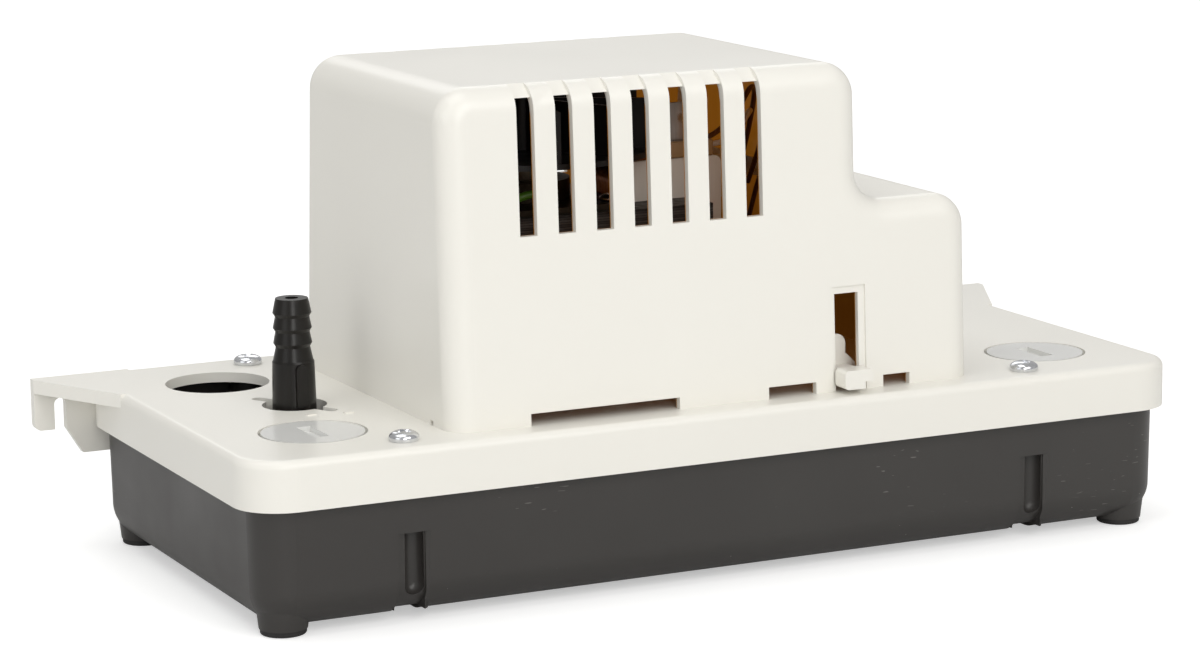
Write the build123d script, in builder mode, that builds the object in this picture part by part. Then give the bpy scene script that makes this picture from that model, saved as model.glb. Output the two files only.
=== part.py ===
from build123d import *
from math import cos, radians, sin, sqrt, tan
import os

# Low-profile condensate pump. Origin: centre of the outline at the height of the foot soles.
# +X runs along the tank, -Y is the side with the vents and the test lever, +Z is up. Millimetres.

os.makedirs("parts", exist_ok=True)

# ---------------------------------------------------------------- clearances
gap = 0.3                    # air between pieces that pass or face each other
running_fit = 0.05           # radial, shaft or pin in a bearing
seat_fit = 0.02              # radial, pieces pressed onto each other

# ---------------------------------------------------------------- tank and feet
lid_length = 275.8
lid_width = 133.2
lid_wall = 2.8
lid_corner = 13.0
lid_skirt = 13.1             # height of the lid's rim
lid_edge_round = 2.2

tank_wall = 2.5
tank_height = 41.0
tank_ground_gap = 2.0        # tank floor above the ground
tank_draft = 1.0             # degrees
tank_bottom_round = 9.5
gasket_thickness = 1.2

foot_inset = 12.2            # foot axis from both lid edges
foot_radius = 6.0
foot_pad = 1.5
foot_stem_radius = 2.0
foot_stem = 1.5
foot_boss_top_radius = 7.2

screw_inset_x = 45.4         # lid screw from the lid's end
screw_inset_y = 9.6          # lid screw from the lid's side
column_radius = 5.2
recess_width = 9.4           # moulded relief in the wall below each lid screw
recess_depth = 1.0
recess_ramp = 1.7            # slope at the relief's end, on one side
recess_top = 24.2
pocket_radius = 2.7
pocket_bottom = 10.0
pocket_sink = 1.1            # pocket's axis behind the relief

# ---------------------------------------------------------------- lid openings and ears
inlet_diameter = 28.575      # 1-1/8 in drain inlets
inlet_inset_x = 28.7
inlet_inset_y = 30.6
plug_crescent = 0.8          # step round the plug's face
plug_step_depth = 1.5
plug_depth = 5.5
plug_slot_length = 13.4
plug_slot_width = 3.9
plug_slot_depth = 1.4

outlet_radius = 8.7          # hole for the discharge fitting
outlet_notch_reach = 14.6
outlet_notch_width = 3.4
outlet_notch_angle = 118.0
outlet_pads = ((-1.1, -15.0), (8.7, -17.1))   # small raised pads, from the hole's centre
outlet_pad_length = 2.6
outlet_pad_width = 1.6
outlet_pad_height = 0.3

ear_reach = 15.2             # hanging ear beyond the lid's end
ear_length = 33.0            # along the lid's end, measured from the back
ear_flange = 3.8
ear_slot_width = 3.4
ear_slot_height = 8.8
ear_prong_width = 5.8
ear_prong_drop = 14.5        # below the lid's top
ear_plate_drop = 21.9
ear_plate_inset = 8.0        # how far the plate runs behind the tank
ear_chamfer = 7.5

# ---------------------------------------------------------------- motor cover
cover_length = 155.2
cover_offset_x = -1.6        # centre of the cover from the centre of the lid
cover_front = 57.5
cover_back = 49.4
cover_height = 88.1
cover_wall = 2.4
cover_front_draft = 2.3      # degrees
cover_back_draft = 4.7       # degrees
cover_round = 9.0            # ends to top
cover_face_round = 6.8       # front and back faces to the rest
shoulder_length = 33.4
shoulder_height = 50.4
shoulder_round = 8.8
step_round = 8.0

vent_count = 7
vent_width = 4.9
vent_pitch = 10.95
vent_first = 20.8            # left edge of the first vent from the cover's left end
vent_sill = 49.3             # above the lid
vent_head = 3.3              # below the cover's top
vent_lip_foot = 1.9          # lip's lower edge, behind the face
vent_lip_top = 6.2           # lip's upper edge
vent_reach = 5.0             # past the inside of the wall

lever_slot_width = 7.2
lever_slot_height = 26.4
lever_frame_border = 2.0
lever_frame_depth = 0.6
base_cutouts = ((22.2, 43.1), (91.9, 14.4), (126.9, 8.2))   # from the left end, width
base_cutout_height = 3.2
side_notch_inset = 13.6      # drip notch in the left end, from the front face
side_notch_width = 1.8
side_notch_height = 1.3

# ---------------------------------------------------------------- pump
motor_from_cover_left = 41.2
discharge_from_cover_left = 21.8
discharge_y = -1.6
duct_offset = 11.0           # the duct leaves the volute off its axis
shaft_radius = 2.5
shaft_bottom_gap = 1.3

volute_plate = 2.5
volute_ground = 7.2          # underside of the volute's plate
volute_radius = 20.0
volute_wall = 3.0
volute_height = 10.3
volute_eye_radius = 7.0
volute_screw_circle = 23.0
volute_screw_angles = (-60, 60, 210)
duct_radius = 5.2
duct_bore = 3.2
riser_radius = 8.2
riser_bore = 6.1
post_radius = 3.4
screw_radius = 1.6
post_wall = 0.8              # lug round a screw beyond its post
head_ratio = 1.9             # head radius over shank radius
head_height = 2.0
lid_screw_radius = 2.1
lid_screw_head = 3.0         # height
lid_screw_length = 15.0
volute_screw_length = 12.0
cover_screw_length = 7.0

impeller_radius = 14.0
impeller_height = 5.0
impeller_hub_radius = 5.0
impeller_vanes = 6
vane_thickness = 1.4
vane_inset = 4.0             # vane shorter than the impeller's radius
vane_shift = 1.5
vane_angle = 25.0

# ---------------------------------------------------------------- discharge fitting
fitting_plug_radius = 5.9
fitting_depth = 21.0         # below the lid's top
fitting_bore = 1.8
fitting_height = 28.9        # above the lid's top
barb_radius = 5.2
barb_neck_radius = 4.58
barb_tip_radius = 4.37
barb_tip_height = 0.9
barb_first = 3.9             # first barb's edge below the top
barb_pitch = 4.05
barb_step = 1.05             # from a barb's edge down to its neck
barb_count = 3
cone_radius = 5.35           # foot of the cone under the barbs
cone_step = 0.55
fitting_body_radius = 5.64   # top of the body
fitting_body_height = 11.75
cage_radius = 3.8
cage_height = 13.0
seat_height = 4.0
seat_bore = 2.2
ball_radius = 3.2
ring_section = 0.68
ring_above_bottom = 5.0
wing_reach = 14.0
wing_width = 3.0
wing_thickness = 2.4
fitting_rib_width = 3.2
fitting_rib_height = 0.7      # proud of the body

# ---------------------------------------------------------------- motor
stack_bottom = 27.0          # above the lid
stack_height = 24.0
stack_width = 52.0
stack_left = 28.0            # from the shaft
leg_from_shaft = 30.0
leg_width = 14.0
window_width = 9.0
window_length = 28.0
rotor_radius = 13.0
air_gap = 0.3
bracket_plate = 1.6
bracket_length = 41.6
bracket_width = 46.0
bracket_cup_radius = 12.6
bracket_cup_height = 7.0
bracket_boss_radius = 7.0
bracket_boss_height = 12.0
bearing_radius = 5.0
bearing_length = 8.0
motor_screw_spacing = 36.0
motor_screw_radius = 1.9
motor_screw_length = 38.0
bobbin_wall = 1.2
bobbin_flange = 1.5
coil_build = 8.3
bobbin_lip = 0.5             # flange beyond the winding, at its sides
bobbin_rise = 2.5            # flange beyond the winding, above and below
bobbin_corner = 2.0
winding_corner = 4.0

fan_radius = 35.0
fan_height = 16.0
fan_plate = 1.5
fan_blades = 11
fan_hub_radius = 5.5
fan_blade_thickness = 1.3
fan_blade_inset = 1.0        # from the rim and from the hub's face
fan_above_bracket = 1.5
slinger_radius = 9.0
slinger_thickness = 2.0
slinger_above_lid = 5.0
shaft_hole_radius = 4.5

# ---------------------------------------------------------------- float, lever and switches
lever_from_motor = 75.0      # float arm from the motor's shaft
lever_swing = 14.0           # degrees, from rest to the stop
pivot_y = 14.0
pivot_height = 12.2          # above the lid
pivot_pin_radius = 1.5
lever_rod_radius = 2.1
lever_hub_radius = 4.2
lever_hub_length = 12.0
float_length = 50.0
float_width = 42.0
float_height = 18.0
float_front = 46.0
float_ground = 6.2
float_corner = 6.0
stem_radius = 2.5
stem_y = -22.0
stem_socket = 10.0
stem_window_length = 14.0
stem_window_width = 19.0
stem_window_shift = 1.5      # towards the front, where the stem swings
stem_window_corner = 2.0
float_edge_round = 2.0
web_thickness = 2.5
web_face = 50.5              # front of the web
knob_radius = 2.8            # rounded head of the web, at the rod's end
knob_height = 5.4            # from its foot to its top
neck_width = 6.0
neck_height = 4.0
neck_lift = 2.0              # above the lid
tab_width = 8.6
tab_height = 5.2
tab_lift = 1.4
tab_reach = 5.6
tab_corner = 1.2
tab_step_width = 2.4         # raised step under the tab's right end
tab_step_height = 1.9
paddle_reach = 14.0          # from the pivot
paddle_depth = 8.0
paddle_thickness = 1.4

switch_thickness = 10.3
switch_length = 27.8
switch_height = 15.9
switch_behind_plunger = 6.0  # middle of the case behind its plunger
switch_hole_spacing = 22.0
switch_hole_low = 3.0        # front hole above the underside of the case
switch_hole_high = 12.8      # back hole
plunger_radius = 1.2
plunger_from_pivot = 10.0
plunger_travel = 2.9
plunger_seat = 3.0           # inside the case at rest
switch_plate = 1.5
switch_plate_margin = 1.1    # plate beyond the case
switch_plate_reach = 11.0    # foot of the bracket, each way from the pivot

gland_from_cover_right = 17.0
gland_height = 16.0
gland_bore_radius = 4.0
gland_radius = 6.0
gland_flange_radius = 8.0
gland_flange = 2.0
cover_screw_height = 8.0
cover_screw_inset = 32.6      # from each end of the cover
upstand_width = 12.0
upstand_thickness = 3.0

# ---------------------------------------------------------------- derived places
half_length = lid_length / 2
half_width = lid_width / 2
tank_rim_z = tank_ground_gap + tank_height
lid_under_z = tank_rim_z + gasket_thickness
lid_top_z = lid_under_z + lid_wall
skirt_bottom_z = lid_top_z - lid_skirt
tank_length = lid_length - 2 * (lid_wall + gap)
tank_width = lid_width - 2 * (lid_wall + gap)
tank_corner = lid_corner - lid_wall - gap
tank_floor_z = tank_ground_gap + tank_wall

foot_places = [(sx * (half_length - foot_inset), sy * (half_width - foot_inset))
               for sx in (-1, 1) for sy in (-1, 1)]
screw_x = half_length - screw_inset_x
screw_y = half_width - screw_inset_y
screw_places = [(sx * screw_x, sy * screw_y) for sx in (-1, 1) for sy in (-1, 1)]
inlet_x = half_length - inlet_inset_x
inlet_y = half_width - inlet_inset_y
inlet_radius = inlet_diameter / 2

cover_left = cover_offset_x - cover_length / 2
cover_right = cover_left + cover_length
cover_top_z = lid_top_z + cover_height
motor_x = cover_left + motor_from_cover_left
motor_y = discharge_y - duct_offset
discharge_x = cover_left - discharge_from_cover_left
lever_x = motor_x + lever_from_motor
pivot_z = lid_top_z + pivot_height
gland_x = cover_right - gland_from_cover_right
gland_z = lid_top_z + gland_height
cover_screw_places = (cover_left + cover_screw_inset, cover_right - cover_screw_inset)

volute_bottom_z = volute_ground + volute_plate
volute_top_z = volute_bottom_z + volute_height
duct_z = volute_bottom_z + duct_radius
stack_z = lid_top_z + stack_bottom
stack_top_z = stack_z + stack_height
leg_in = motor_x + leg_from_shaft
leg_out = leg_in + leg_width
fan_z = stack_top_z + bracket_boss_height + fan_above_bracket
motor_screw_places = [(motor_x + sx * motor_screw_spacing / 2, motor_y + sy * motor_screw_spacing / 2)
                      for sx in (-1, 1) for sy in (-1, 1)]
volute_screw_places = [(motor_x + volute_screw_circle * cos(radians(a)),
                        motor_y + volute_screw_circle * sin(radians(a))) for a in volute_screw_angles]


def front_face_y(z):
    # y of the drafted front face of the cover at height z
    return -cover_front + (z - lid_top_z) * tan(radians(cover_front_draft))


def back_face_y(z):
    # y of the drafted back face of the cover at height z
    return cover_back - (z - lid_top_z) * tan(radians(cover_back_draft))


upstand_y = back_face_y(lid_top_z + 2 * cover_screw_height) - cover_wall - gap


def tub(inset, bottom_z):
    # drafted tub outline, set in from the tank's outer surface
    with BuildPart() as block:
        with BuildSketch(Plane(origin=(0, 0, tank_rim_z), z_dir=(0, 0, -1))):
            RectangleRounded(tank_length - 2 * inset, tank_width - 2 * inset, tank_corner - inset)
        extrude(amount=tank_rim_z - bottom_z, taper=tank_draft)
        fillet(block.faces().sort_by(Axis.Z)[0].edges(), radius=tank_bottom_round - inset)
    return block.part


# ================================================================ tank
with BuildPart() as recess_cutter:
    outer_y = tank_width / 2
    inner_y = outer_y - recess_depth
    reach_y = half_width - 2 * recess_width
    for side in (-1, 1):
        # the ramp lies at the right-hand end of the relief as each side is looked at
        for x in (-screw_x, screw_x):
            sharp = x + side * recess_width / 2
            ramp = x - side * recess_width / 2
            with BuildSketch(Plane.XY):
                with BuildLine():
                    Polyline((sharp, side * reach_y), (sharp, side * half_width), (ramp, side * half_width),
                             (ramp, side * outer_y), (ramp + side * recess_ramp, side * inner_y),
                             (ramp + side * recess_ramp, side * reach_y), close=True)
                make_face()
            extrude(amount=recess_top)
    add(tub(recess_depth, tank_ground_gap + recess_depth), mode=Mode.SUBTRACT)

with BuildPart() as tank:
    add(tub(0, tank_ground_gap))
    for x, y in foot_places:
        with BuildSketch(Plane(origin=(x, y, foot_pad))):
            Circle(foot_radius + gap)
        with BuildSketch(Plane(origin=(x, y, tank_bottom_round))):
            Circle(foot_boss_top_radius)
        loft()
    add(tub(tank_wall, tank_floor_z), mode=Mode.SUBTRACT)
    # screw columns, merged with the wall
    with BuildSketch(Plane.XY.offset(tank_ground_gap + tank_wall / 2)):
        with Locations(*screw_places):
            Circle(column_radius)
    extrude(amount=tank_rim_z - tank_ground_gap - tank_wall / 2)
    add(recess_cutter.part, mode=Mode.SUBTRACT)
    # bullet-shaped pockets cored into the columns from outside
    pocket_y = tank_width / 2 - recess_depth - pocket_sink
    for sx in (-1, 1):
        for sy in (-1, 1):
            with Locations((sx * screw_x, sy * pocket_y, pocket_bottom)):
                Sphere(pocket_radius, mode=Mode.SUBTRACT)
                Cylinder(pocket_radius, recess_top - pocket_bottom, mode=Mode.SUBTRACT,
                         align=(Align.CENTER, Align.CENTER, Align.MIN))
    # thread cores
    with BuildSketch(Plane.XY.offset(tank_rim_z)):
        with Locations(*screw_places):
            Circle(lid_screw_radius + seat_fit)
    extrude(amount=-lid_screw_length, mode=Mode.SUBTRACT)
    # sockets for the foot stems
    with BuildSketch(Plane.XY.offset(foot_pad)):
        with Locations(*foot_places):
            Circle(foot_stem_radius + seat_fit)
    extrude(amount=foot_stem + seat_fit, mode=Mode.SUBTRACT)
tank.part.label = "tank"
export_step(tank.part, "parts/tank.step")

# ================================================================ feet
with BuildPart() as rubber_feet:
    with BuildSketch(Plane.XY):
        with Locations(*foot_places):
            Circle(foot_radius)
    extrude(amount=foot_pad)
    fillet(rubber_feet.edges().group_by(Axis.Z)[0], radius=foot_pad * 0.4)
    with BuildSketch(Plane.XY.offset(foot_pad)):
        with Locations(*foot_places):
            Circle(foot_stem_radius)
    extrude(amount=foot_stem)
rubber_feet.part.label = "rubber_feet"
export_step(rubber_feet.part, "parts/rubber_feet.step")

# ================================================================ lid and its gasket
with BuildPart() as lid_gasket:
    with BuildSketch(Plane.XY.offset(tank_rim_z)):
        RectangleRounded(tank_length, tank_width, tank_corner)
        RectangleRounded(tank_length - 2 * tank_wall, tank_width - 2 * tank_wall,
                         tank_corner - tank_wall, mode=Mode.SUBTRACT)
    extrude(amount=gasket_thickness)
lid_gasket.part.label = "lid_gasket"
export_step(lid_gasket.part, "parts/lid_gasket.step")


def ear(side):
    # hanging ear at one back corner: a triangular flange over a slotted plate
    end = side * half_length
    tip = side * (half_length + ear_reach)
    back = half_width
    with BuildPart() as body:
        with BuildSketch(Plane.XY.offset(lid_top_z - ear_flange)):
            with BuildLine():
                Polyline((end - side * lid_corner, back), (end - side * lid_corner, back - ear_length),
                         (end, back - ear_length), (tip, back - lid_wall), (tip, back), close=True)
            make_face()
        extrude(amount=ear_flange)
        # upright plate, with the screw slot between its outer prong and its body
        slot_edge = tip - side * ear_prong_width
        plate_edge = slot_edge - side * ear_slot_width
        low = lid_top_z - ear_plate_drop
        with BuildSketch(Plane(origin=(0, back, 0), x_dir=(1, 0, 0), z_dir=(0, -1, 0))):
            with BuildLine():
                Polyline((tip, lid_top_z - ear_flange), (tip, lid_top_z - ear_prong_drop),
                         (plate_edge, lid_top_z - ear_prong_drop),
                         (plate_edge - side * 0.6 * ear_chamfer, low),
                         (end - side * (lid_corner + ear_plate_inset), low),
                         (end - side * (lid_corner + ear_plate_inset), lid_top_z - ear_flange), close=True)
            make_face()
        extrude(amount=lid_wall)
        with BuildSketch(Plane(origin=(0, back, 0), x_dir=(1, 0, 0), z_dir=(0, -1, 0))):
            with Locations(((slot_edge + plate_edge) / 2, lid_top_z - ear_prong_drop)):
                SlotCenterToCenter(2 * ear_slot_height - ear_slot_width, ear_slot_width, rotation=90)
        extrude(amount=lid_wall, mode=Mode.SUBTRACT)
        prong = body.edges().filter_by(Axis.Y).filter_by_position(Axis.Z, lid_top_z - ear_prong_drop - 0.1,
                                                                  lid_top_z - ear_prong_drop + 0.1)
        fillet(prong.sort_by(lambda e: -side * e.center().X)[:1], radius=ear_prong_width * 0.35)
    return body.part


with BuildPart() as tank_lid:
    with BuildSketch(Plane.XY.offset(skirt_bottom_z)):
        RectangleRounded(lid_length, lid_width, lid_corner)
    extrude(amount=lid_skirt)
    fillet(tank_lid.faces().sort_by(Axis.Z)[-1].edges(), radius=lid_edge_round)
    add(ear(-1))
    add(ear(1))
    with BuildSketch(Plane.XY.offset(skirt_bottom_z)):
        RectangleRounded(lid_length - 2 * lid_wall, lid_width - 2 * lid_wall, lid_corner - lid_wall)
    extrude(amount=lid_under_z - skirt_bottom_z, mode=Mode.SUBTRACT)
    # seats that bear on the tank's screw columns
    with BuildSketch(Plane.XY.offset(tank_rim_z)):
        with Locations(*screw_places):
            Circle(column_radius * 0.65)
    extrude(amount=gasket_thickness)
    # posts for the volute, under the lid
    with BuildSketch(Plane.XY.offset(volute_top_z)):
        with Locations(*volute_screw_places):
            Circle(post_radius)
    extrude(amount=lid_under_z - volute_top_z)
    # posts for the motor, on the lid
    with BuildSketch(Plane.XY.offset(lid_top_z)):
        with Locations(*motor_screw_places):
            Circle(post_radius)
    extrude(amount=stack_bottom - bracket_plate)
    # upstands that take the cover's screws
    for x in cover_screw_places:
        with BuildSketch(Plane(origin=(0, upstand_y, lid_top_z))):
            with Locations((x, -upstand_thickness / 2)):
                Rectangle(upstand_width, upstand_thickness)
        extrude(amount=2 * cover_screw_height)
    # pads in front of the discharge opening
    with BuildSketch(Plane.XY.offset(lid_top_z)):
        with Locations(*[(discharge_x + x, discharge_y + y) for x, y in outlet_pads]):
            Rectangle(outlet_pad_length, outlet_pad_width)
    extrude(amount=outlet_pad_height)
    # drain inlets
    with BuildSketch(Plane.XY.offset(lid_under_z)):
        with Locations(*[(sx * inlet_x, sy * inlet_y) for sx in (-1, 1) for sy in (-1, 1)]):
            Circle(inlet_radius)
    extrude(amount=lid_wall, mode=Mode.SUBTRACT)
    # discharge opening with two wing notches
    with BuildSketch(Plane.XY.offset(lid_under_z)):
        with Locations((discharge_x, discharge_y)):
            Circle(outlet_radius)
            SlotOverall(2 * outlet_notch_reach, outlet_notch_width, rotation=outlet_notch_angle)
        with Locations((motor_x, motor_y)):
            Circle(shaft_hole_radius)
        with Locations((lever_x, stem_y - stem_window_shift)):
            RectangleRounded(stem_window_length, stem_window_width, stem_window_corner)
    extrude(amount=lid_wall, mode=Mode.SUBTRACT)
    with BuildSketch(Plane.XY.offset(tank_rim_z)):
        with Locations(*screw_places):
            Circle(lid_screw_radius + gap)
    extrude(amount=gasket_thickness + lid_wall, mode=Mode.SUBTRACT)
    # thread cores of the posts and upstands
    with BuildSketch(Plane.XY.offset(lid_top_z + stack_bottom - bracket_plate)):
        with Locations(*motor_screw_places):
            Circle(motor_screw_radius + seat_fit)
    extrude(amount=-(motor_screw_length - stack_height - bracket_plate), mode=Mode.SUBTRACT)
    with BuildSketch(Plane.XY.offset(volute_top_z)):
        with Locations(*volute_screw_places):
            Circle(screw_radius + seat_fit)
    extrude(amount=volute_screw_length, mode=Mode.SUBTRACT)
    with BuildSketch(Plane(origin=(0, cover_back, lid_top_z + cover_screw_height), x_dir=(1, 0, 0),
                           z_dir=(0, -1, 0))):
        with Locations(*[(x, 0) for x in cover_screw_places]):
            Circle(screw_radius + seat_fit)
    extrude(amount=cover_screw_length + cover_wall, mode=Mode.SUBTRACT)
tank_lid.part.label = "tank_lid"
export_step(tank_lid.part, "parts/tank_lid.step")


# ================================================================ motor cover
def cover_block(inset):
    # stepped and drafted outline of the cover, set in from its outer surface
    left = cover_left + inset
    right = cover_right - inset
    step = cover_right - shoulder_length - inset
    top = cover_top_z - inset
    shoulder = lid_top_z + shoulder_height - inset
    with BuildPart() as block:
        with BuildSketch(Plane.XZ):
            with BuildLine():
                outline = FilletPolyline((left, lid_top_z), (left, top), (step, top), (step, shoulder),
                                         (right, shoulder), (right, lid_top_z),
                                         radius=[cover_round - inset, cover_round - inset,
                                                 step_round + inset, shoulder_round - inset])
                Line(outline @ 1, outline @ 0)
            make_face()
        extrude(amount=cover_front + cover_back, both=True)
        with BuildSketch(Plane.YZ.offset(cover_left)):
            with BuildLine():
                Polyline((front_face_y(lid_top_z) + inset, lid_top_z), (back_face_y(lid_top_z) - inset, lid_top_z),
                         (back_face_y(cover_top_z) - inset, cover_top_z),
                         (front_face_y(cover_top_z) + inset, cover_top_z), close=True)
            make_face()
        extrude(amount=cover_length, mode=Mode.INTERSECT)
        for face in (block.faces().sort_by(Axis.Y)[0], block.faces().sort_by(Axis.Y)[-1]):
            rim = face.edges().filter_by(lambda e: e.center().Z > lid_top_z + 0.1)
            fillet(rim, radius=cover_face_round - inset)
    return block.part


def vent_profile(face_y, inward):
    # section of one vent in the YZ plane: a slot through the wall and a sloped lip above it
    top_y = face_y(cover_top_z)
    head = cover_top_z - vent_head
    outside = face_y(lid_top_z) - inward * cover_wall
    return [(outside, lid_top_z + vent_sill), (top_y + inward * vent_reach, lid_top_z + vent_sill),
            (top_y + inward * vent_reach, head), (top_y + inward * vent_lip_foot, head),
            (top_y + inward * vent_lip_top, cover_top_z), (outside, cover_top_z)]


with BuildPart() as motor_cover:
    add(cover_block(0))
    add(cover_block(cover_wall), mode=Mode.SUBTRACT)
    for number in range(vent_count):
        for face_y, inward in ((front_face_y, 1), (back_face_y, -1)):
            with BuildSketch(Plane.YZ.offset(cover_left + vent_first + number * vent_pitch)):
                with BuildLine():
                    Polyline(*vent_profile(face_y, inward), close=True)
                make_face()
            extrude(amount=vent_width, mode=Mode.SUBTRACT)
    # hand holes and drip gaps along the front's bottom edge
    for start, width in base_cutouts:
        with BuildSketch(Plane.XY.offset(lid_top_z)):
            with Locations((cover_left + start + width / 2, -cover_front + cover_wall / 2)):
                Rectangle(width, 3 * cover_wall)
        extrude(amount=base_cutout_height, mode=Mode.SUBTRACT)
    # drip notch in the left end
    with BuildSketch(Plane.XY.offset(lid_top_z)):
        with Locations((cover_left + cover_wall / 2, side_notch_inset - cover_front)):
            Rectangle(3 * cover_wall, side_notch_width)
    extrude(amount=side_notch_height, mode=Mode.SUBTRACT)
    # test lever slot in a shallow frame
    with BuildSketch(Plane.XY.offset(lid_top_z)):
        with Locations((lever_x, -cover_front)):
            Rectangle(lever_slot_width, 4 * cover_wall)
    extrude(amount=lever_slot_height, mode=Mode.SUBTRACT)
    with BuildSketch(Plane.YZ.offset(lever_x - lever_slot_width / 2 - lever_frame_border / 2)):
        with BuildLine():
            frame_top = lid_top_z + lever_slot_height + lever_frame_border
            Polyline((-cover_front - gap, lid_top_z), (front_face_y(lid_top_z) + lever_frame_depth, lid_top_z),
                     (front_face_y(frame_top) + lever_frame_depth, frame_top), (-cover_front - gap, frame_top),
                     close=True)
        make_face()
    extrude(amount=lever_slot_width + 1.5 * lever_frame_border, mode=Mode.SUBTRACT)
    # gland hole and screw holes in the back
    with BuildSketch(Plane(origin=(0, cover_back, 0), x_dir=(1, 0, 0), z_dir=(0, -1, 0))):
        with Locations((gland_x, gland_z)):
            Circle(gland_radius + seat_fit)
        with Locations(*[(x, lid_top_z + cover_screw_height) for x in cover_screw_places]):
            Circle(screw_radius + gap)
    extrude(amount=3 * cover_wall, mode=Mode.SUBTRACT)
motor_cover.part.label = "motor_cover"
export_step(motor_cover.part, "parts/motor_cover.step")



# ================================================================ screws
def screws(places, seat_z, length, radius, head, up=1):
    # a group of equal round-head screws under or on a level seat; up is +1 when the heads face +Z
    with BuildPart() as group:
        for x, y in places:
            with BuildSketch(Plane(origin=(x, y, seat_z), z_dir=(0, 0, up))):
                Circle(radius * head_ratio)
            extrude(amount=head)
        fillet(group.faces().sort_by(lambda f: -up * f.center().Z)[:len(places)].edges(), radius=head * 0.6)
        for x, y in places:
            with BuildSketch(Plane(origin=(x, y, seat_z), z_dir=(0, 0, -up))):
                Circle(radius)
            extrude(amount=length)
    return group.part


lid_screws = screws(screw_places, lid_top_z, lid_screw_length + gasket_thickness, lid_screw_radius, lid_screw_head)
lid_screws.label = "lid_screws"
export_step(lid_screws, "parts/lid_screws.step")

motor_screws = screws(motor_screw_places, stack_top_z + bracket_plate, motor_screw_length, motor_screw_radius,
                      head_height)
motor_screws.label = "motor_screws"
export_step(motor_screws, "parts/motor_screws.step")

volute_screws = screws(volute_screw_places, volute_ground, volute_screw_length + volute_plate + volute_height
                       - seat_fit, screw_radius, head_height, up=-1)
volute_screws.label = "volute_screws"
export_step(volute_screws, "parts/volute_screws.step")

with BuildPart() as cover_screws:
    screw_z = lid_top_z + cover_screw_height
    for x in cover_screw_places:
        seat = Plane(origin=(x, back_face_y(screw_z), screw_z), x_dir=(1, 0, 0), z_dir=(0, 1, 0))
        with BuildSketch(seat.offset(gap)):
            Circle(screw_radius * head_ratio)
        extrude(amount=head_height)
        with BuildSketch(seat.offset(gap)):
            Circle(screw_radius)
        extrude(amount=-cover_screw_length)
cover_screws.part.label = "cover_screws"
export_step(cover_screws.part, "parts/cover_screws.step")


# ================================================================ inlet plugs
def inlet_plug(x, y):
    # push-in cap: a ring that fits the inlet under a slightly smaller face with a driver slot
    with BuildPart() as plug:
        with BuildSketch(Plane(origin=(x, y, lid_top_z - plug_step_depth))):
            Circle(inlet_radius - running_fit)
        extrude(amount=-plug_depth)
        with BuildSketch(Plane(origin=(x, y, lid_top_z - plug_step_depth))):
            Circle(inlet_radius - plug_crescent)
        extrude(amount=plug_step_depth)
        with BuildSketch(Plane(origin=(x, y, lid_top_z - plug_step_depth - lid_wall))):
            Circle(inlet_radius - running_fit - lid_wall / 2)
        extrude(amount=-plug_depth + lid_wall, mode=Mode.SUBTRACT)
        with BuildSketch(Plane(origin=(x, y, lid_top_z))):
            Rectangle(plug_slot_width, plug_slot_length)
        extrude(amount=-plug_slot_depth, mode=Mode.SUBTRACT)
    return plug.part


for plug_name, plug_sx, plug_sy in (("inlet_plug_front_left", -1, -1), ("inlet_plug_front_right", 1, -1),
                                    ("inlet_plug_back_right", 1, 1)):
    plug = inlet_plug(plug_sx * inlet_x, plug_sy * inlet_y)
    plug.label = plug_name
    export_step(plug, f"parts/{plug_name}.step")

# ================================================================ discharge fitting and check valve
fitting_bottom_z = lid_top_z - fitting_depth
fitting_top_z = lid_top_z + fitting_height
ring_z = fitting_bottom_z + ring_above_bottom
ring_groove_radius = riser_bore - 2 * ring_section - 2 * seat_fit
axis_plane = Plane(origin=(discharge_x, discharge_y, 0), x_dir=(1, 0, 0), z_dir=(0, -1, 0))

with BuildPart() as discharge_fitting:
    body_top = lid_top_z + fitting_body_height
    profile = [(fitting_bore, fitting_top_z), (barb_tip_radius, fitting_top_z)]
    profile += [(barb_neck_radius, fitting_top_z - barb_tip_height)]
    for number in range(barb_count):
        barb_z = fitting_top_z - barb_first - number * barb_pitch
        profile += [(barb_radius, barb_z), (barb_neck_radius, barb_z - barb_step)]
    profile += [(cone_radius, body_top + cone_step), (fitting_body_radius, body_top),
                (fitting_plug_radius, lid_top_z), (fitting_plug_radius, fitting_bottom_z),
                (cage_radius, fitting_bottom_z),
                (cage_radius, fitting_bottom_z + seat_height + cage_height - cage_radius + fitting_bore),
                (fitting_bore, fitting_bottom_z + seat_height + cage_height)]
    with BuildSketch(axis_plane):
        with BuildLine():
            Polyline(*profile, close=True)
        make_face()
        with Locations((fitting_plug_radius, ring_z)):
            Rectangle(2 * (fitting_plug_radius - ring_groove_radius), 2 * (ring_section + running_fit),
                      mode=Mode.SUBTRACT)
    revolve(axis=Axis(origin=(discharge_x, discharge_y, 0), direction=(0, 0, 1)))
    # wings that lock under the lid, a quarter turn from the notches
    with BuildSketch(Plane.XY.offset(lid_under_z - gap)):
        with Locations((discharge_x, discharge_y)):
            SlotOverall(2 * wing_reach, wing_width, rotation=outlet_notch_angle - 90)
            Circle((fitting_plug_radius + cage_radius) / 2, mode=Mode.SUBTRACT)
    extrude(amount=-wing_thickness)
    # round-topped grip ribs, front and back
    rib_low = lid_top_z + gap
    rib_high = body_top - fitting_rib_width / 2
    for side in (-1, 1):
        face = Plane(origin=(discharge_x, discharge_y + side * (fitting_plug_radius + fitting_rib_height), 0),
                     x_dir=(-side, 0, 0), z_dir=(0, side, 0))
        with BuildSketch(face):
            with Locations((0, (rib_low + rib_high) / 2)):
                Rectangle(fitting_rib_width, rib_high - rib_low)
            with Locations((0, rib_high)):
                Circle(fitting_rib_width / 2)
        extrude(amount=-2 * fitting_rib_height)
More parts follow.
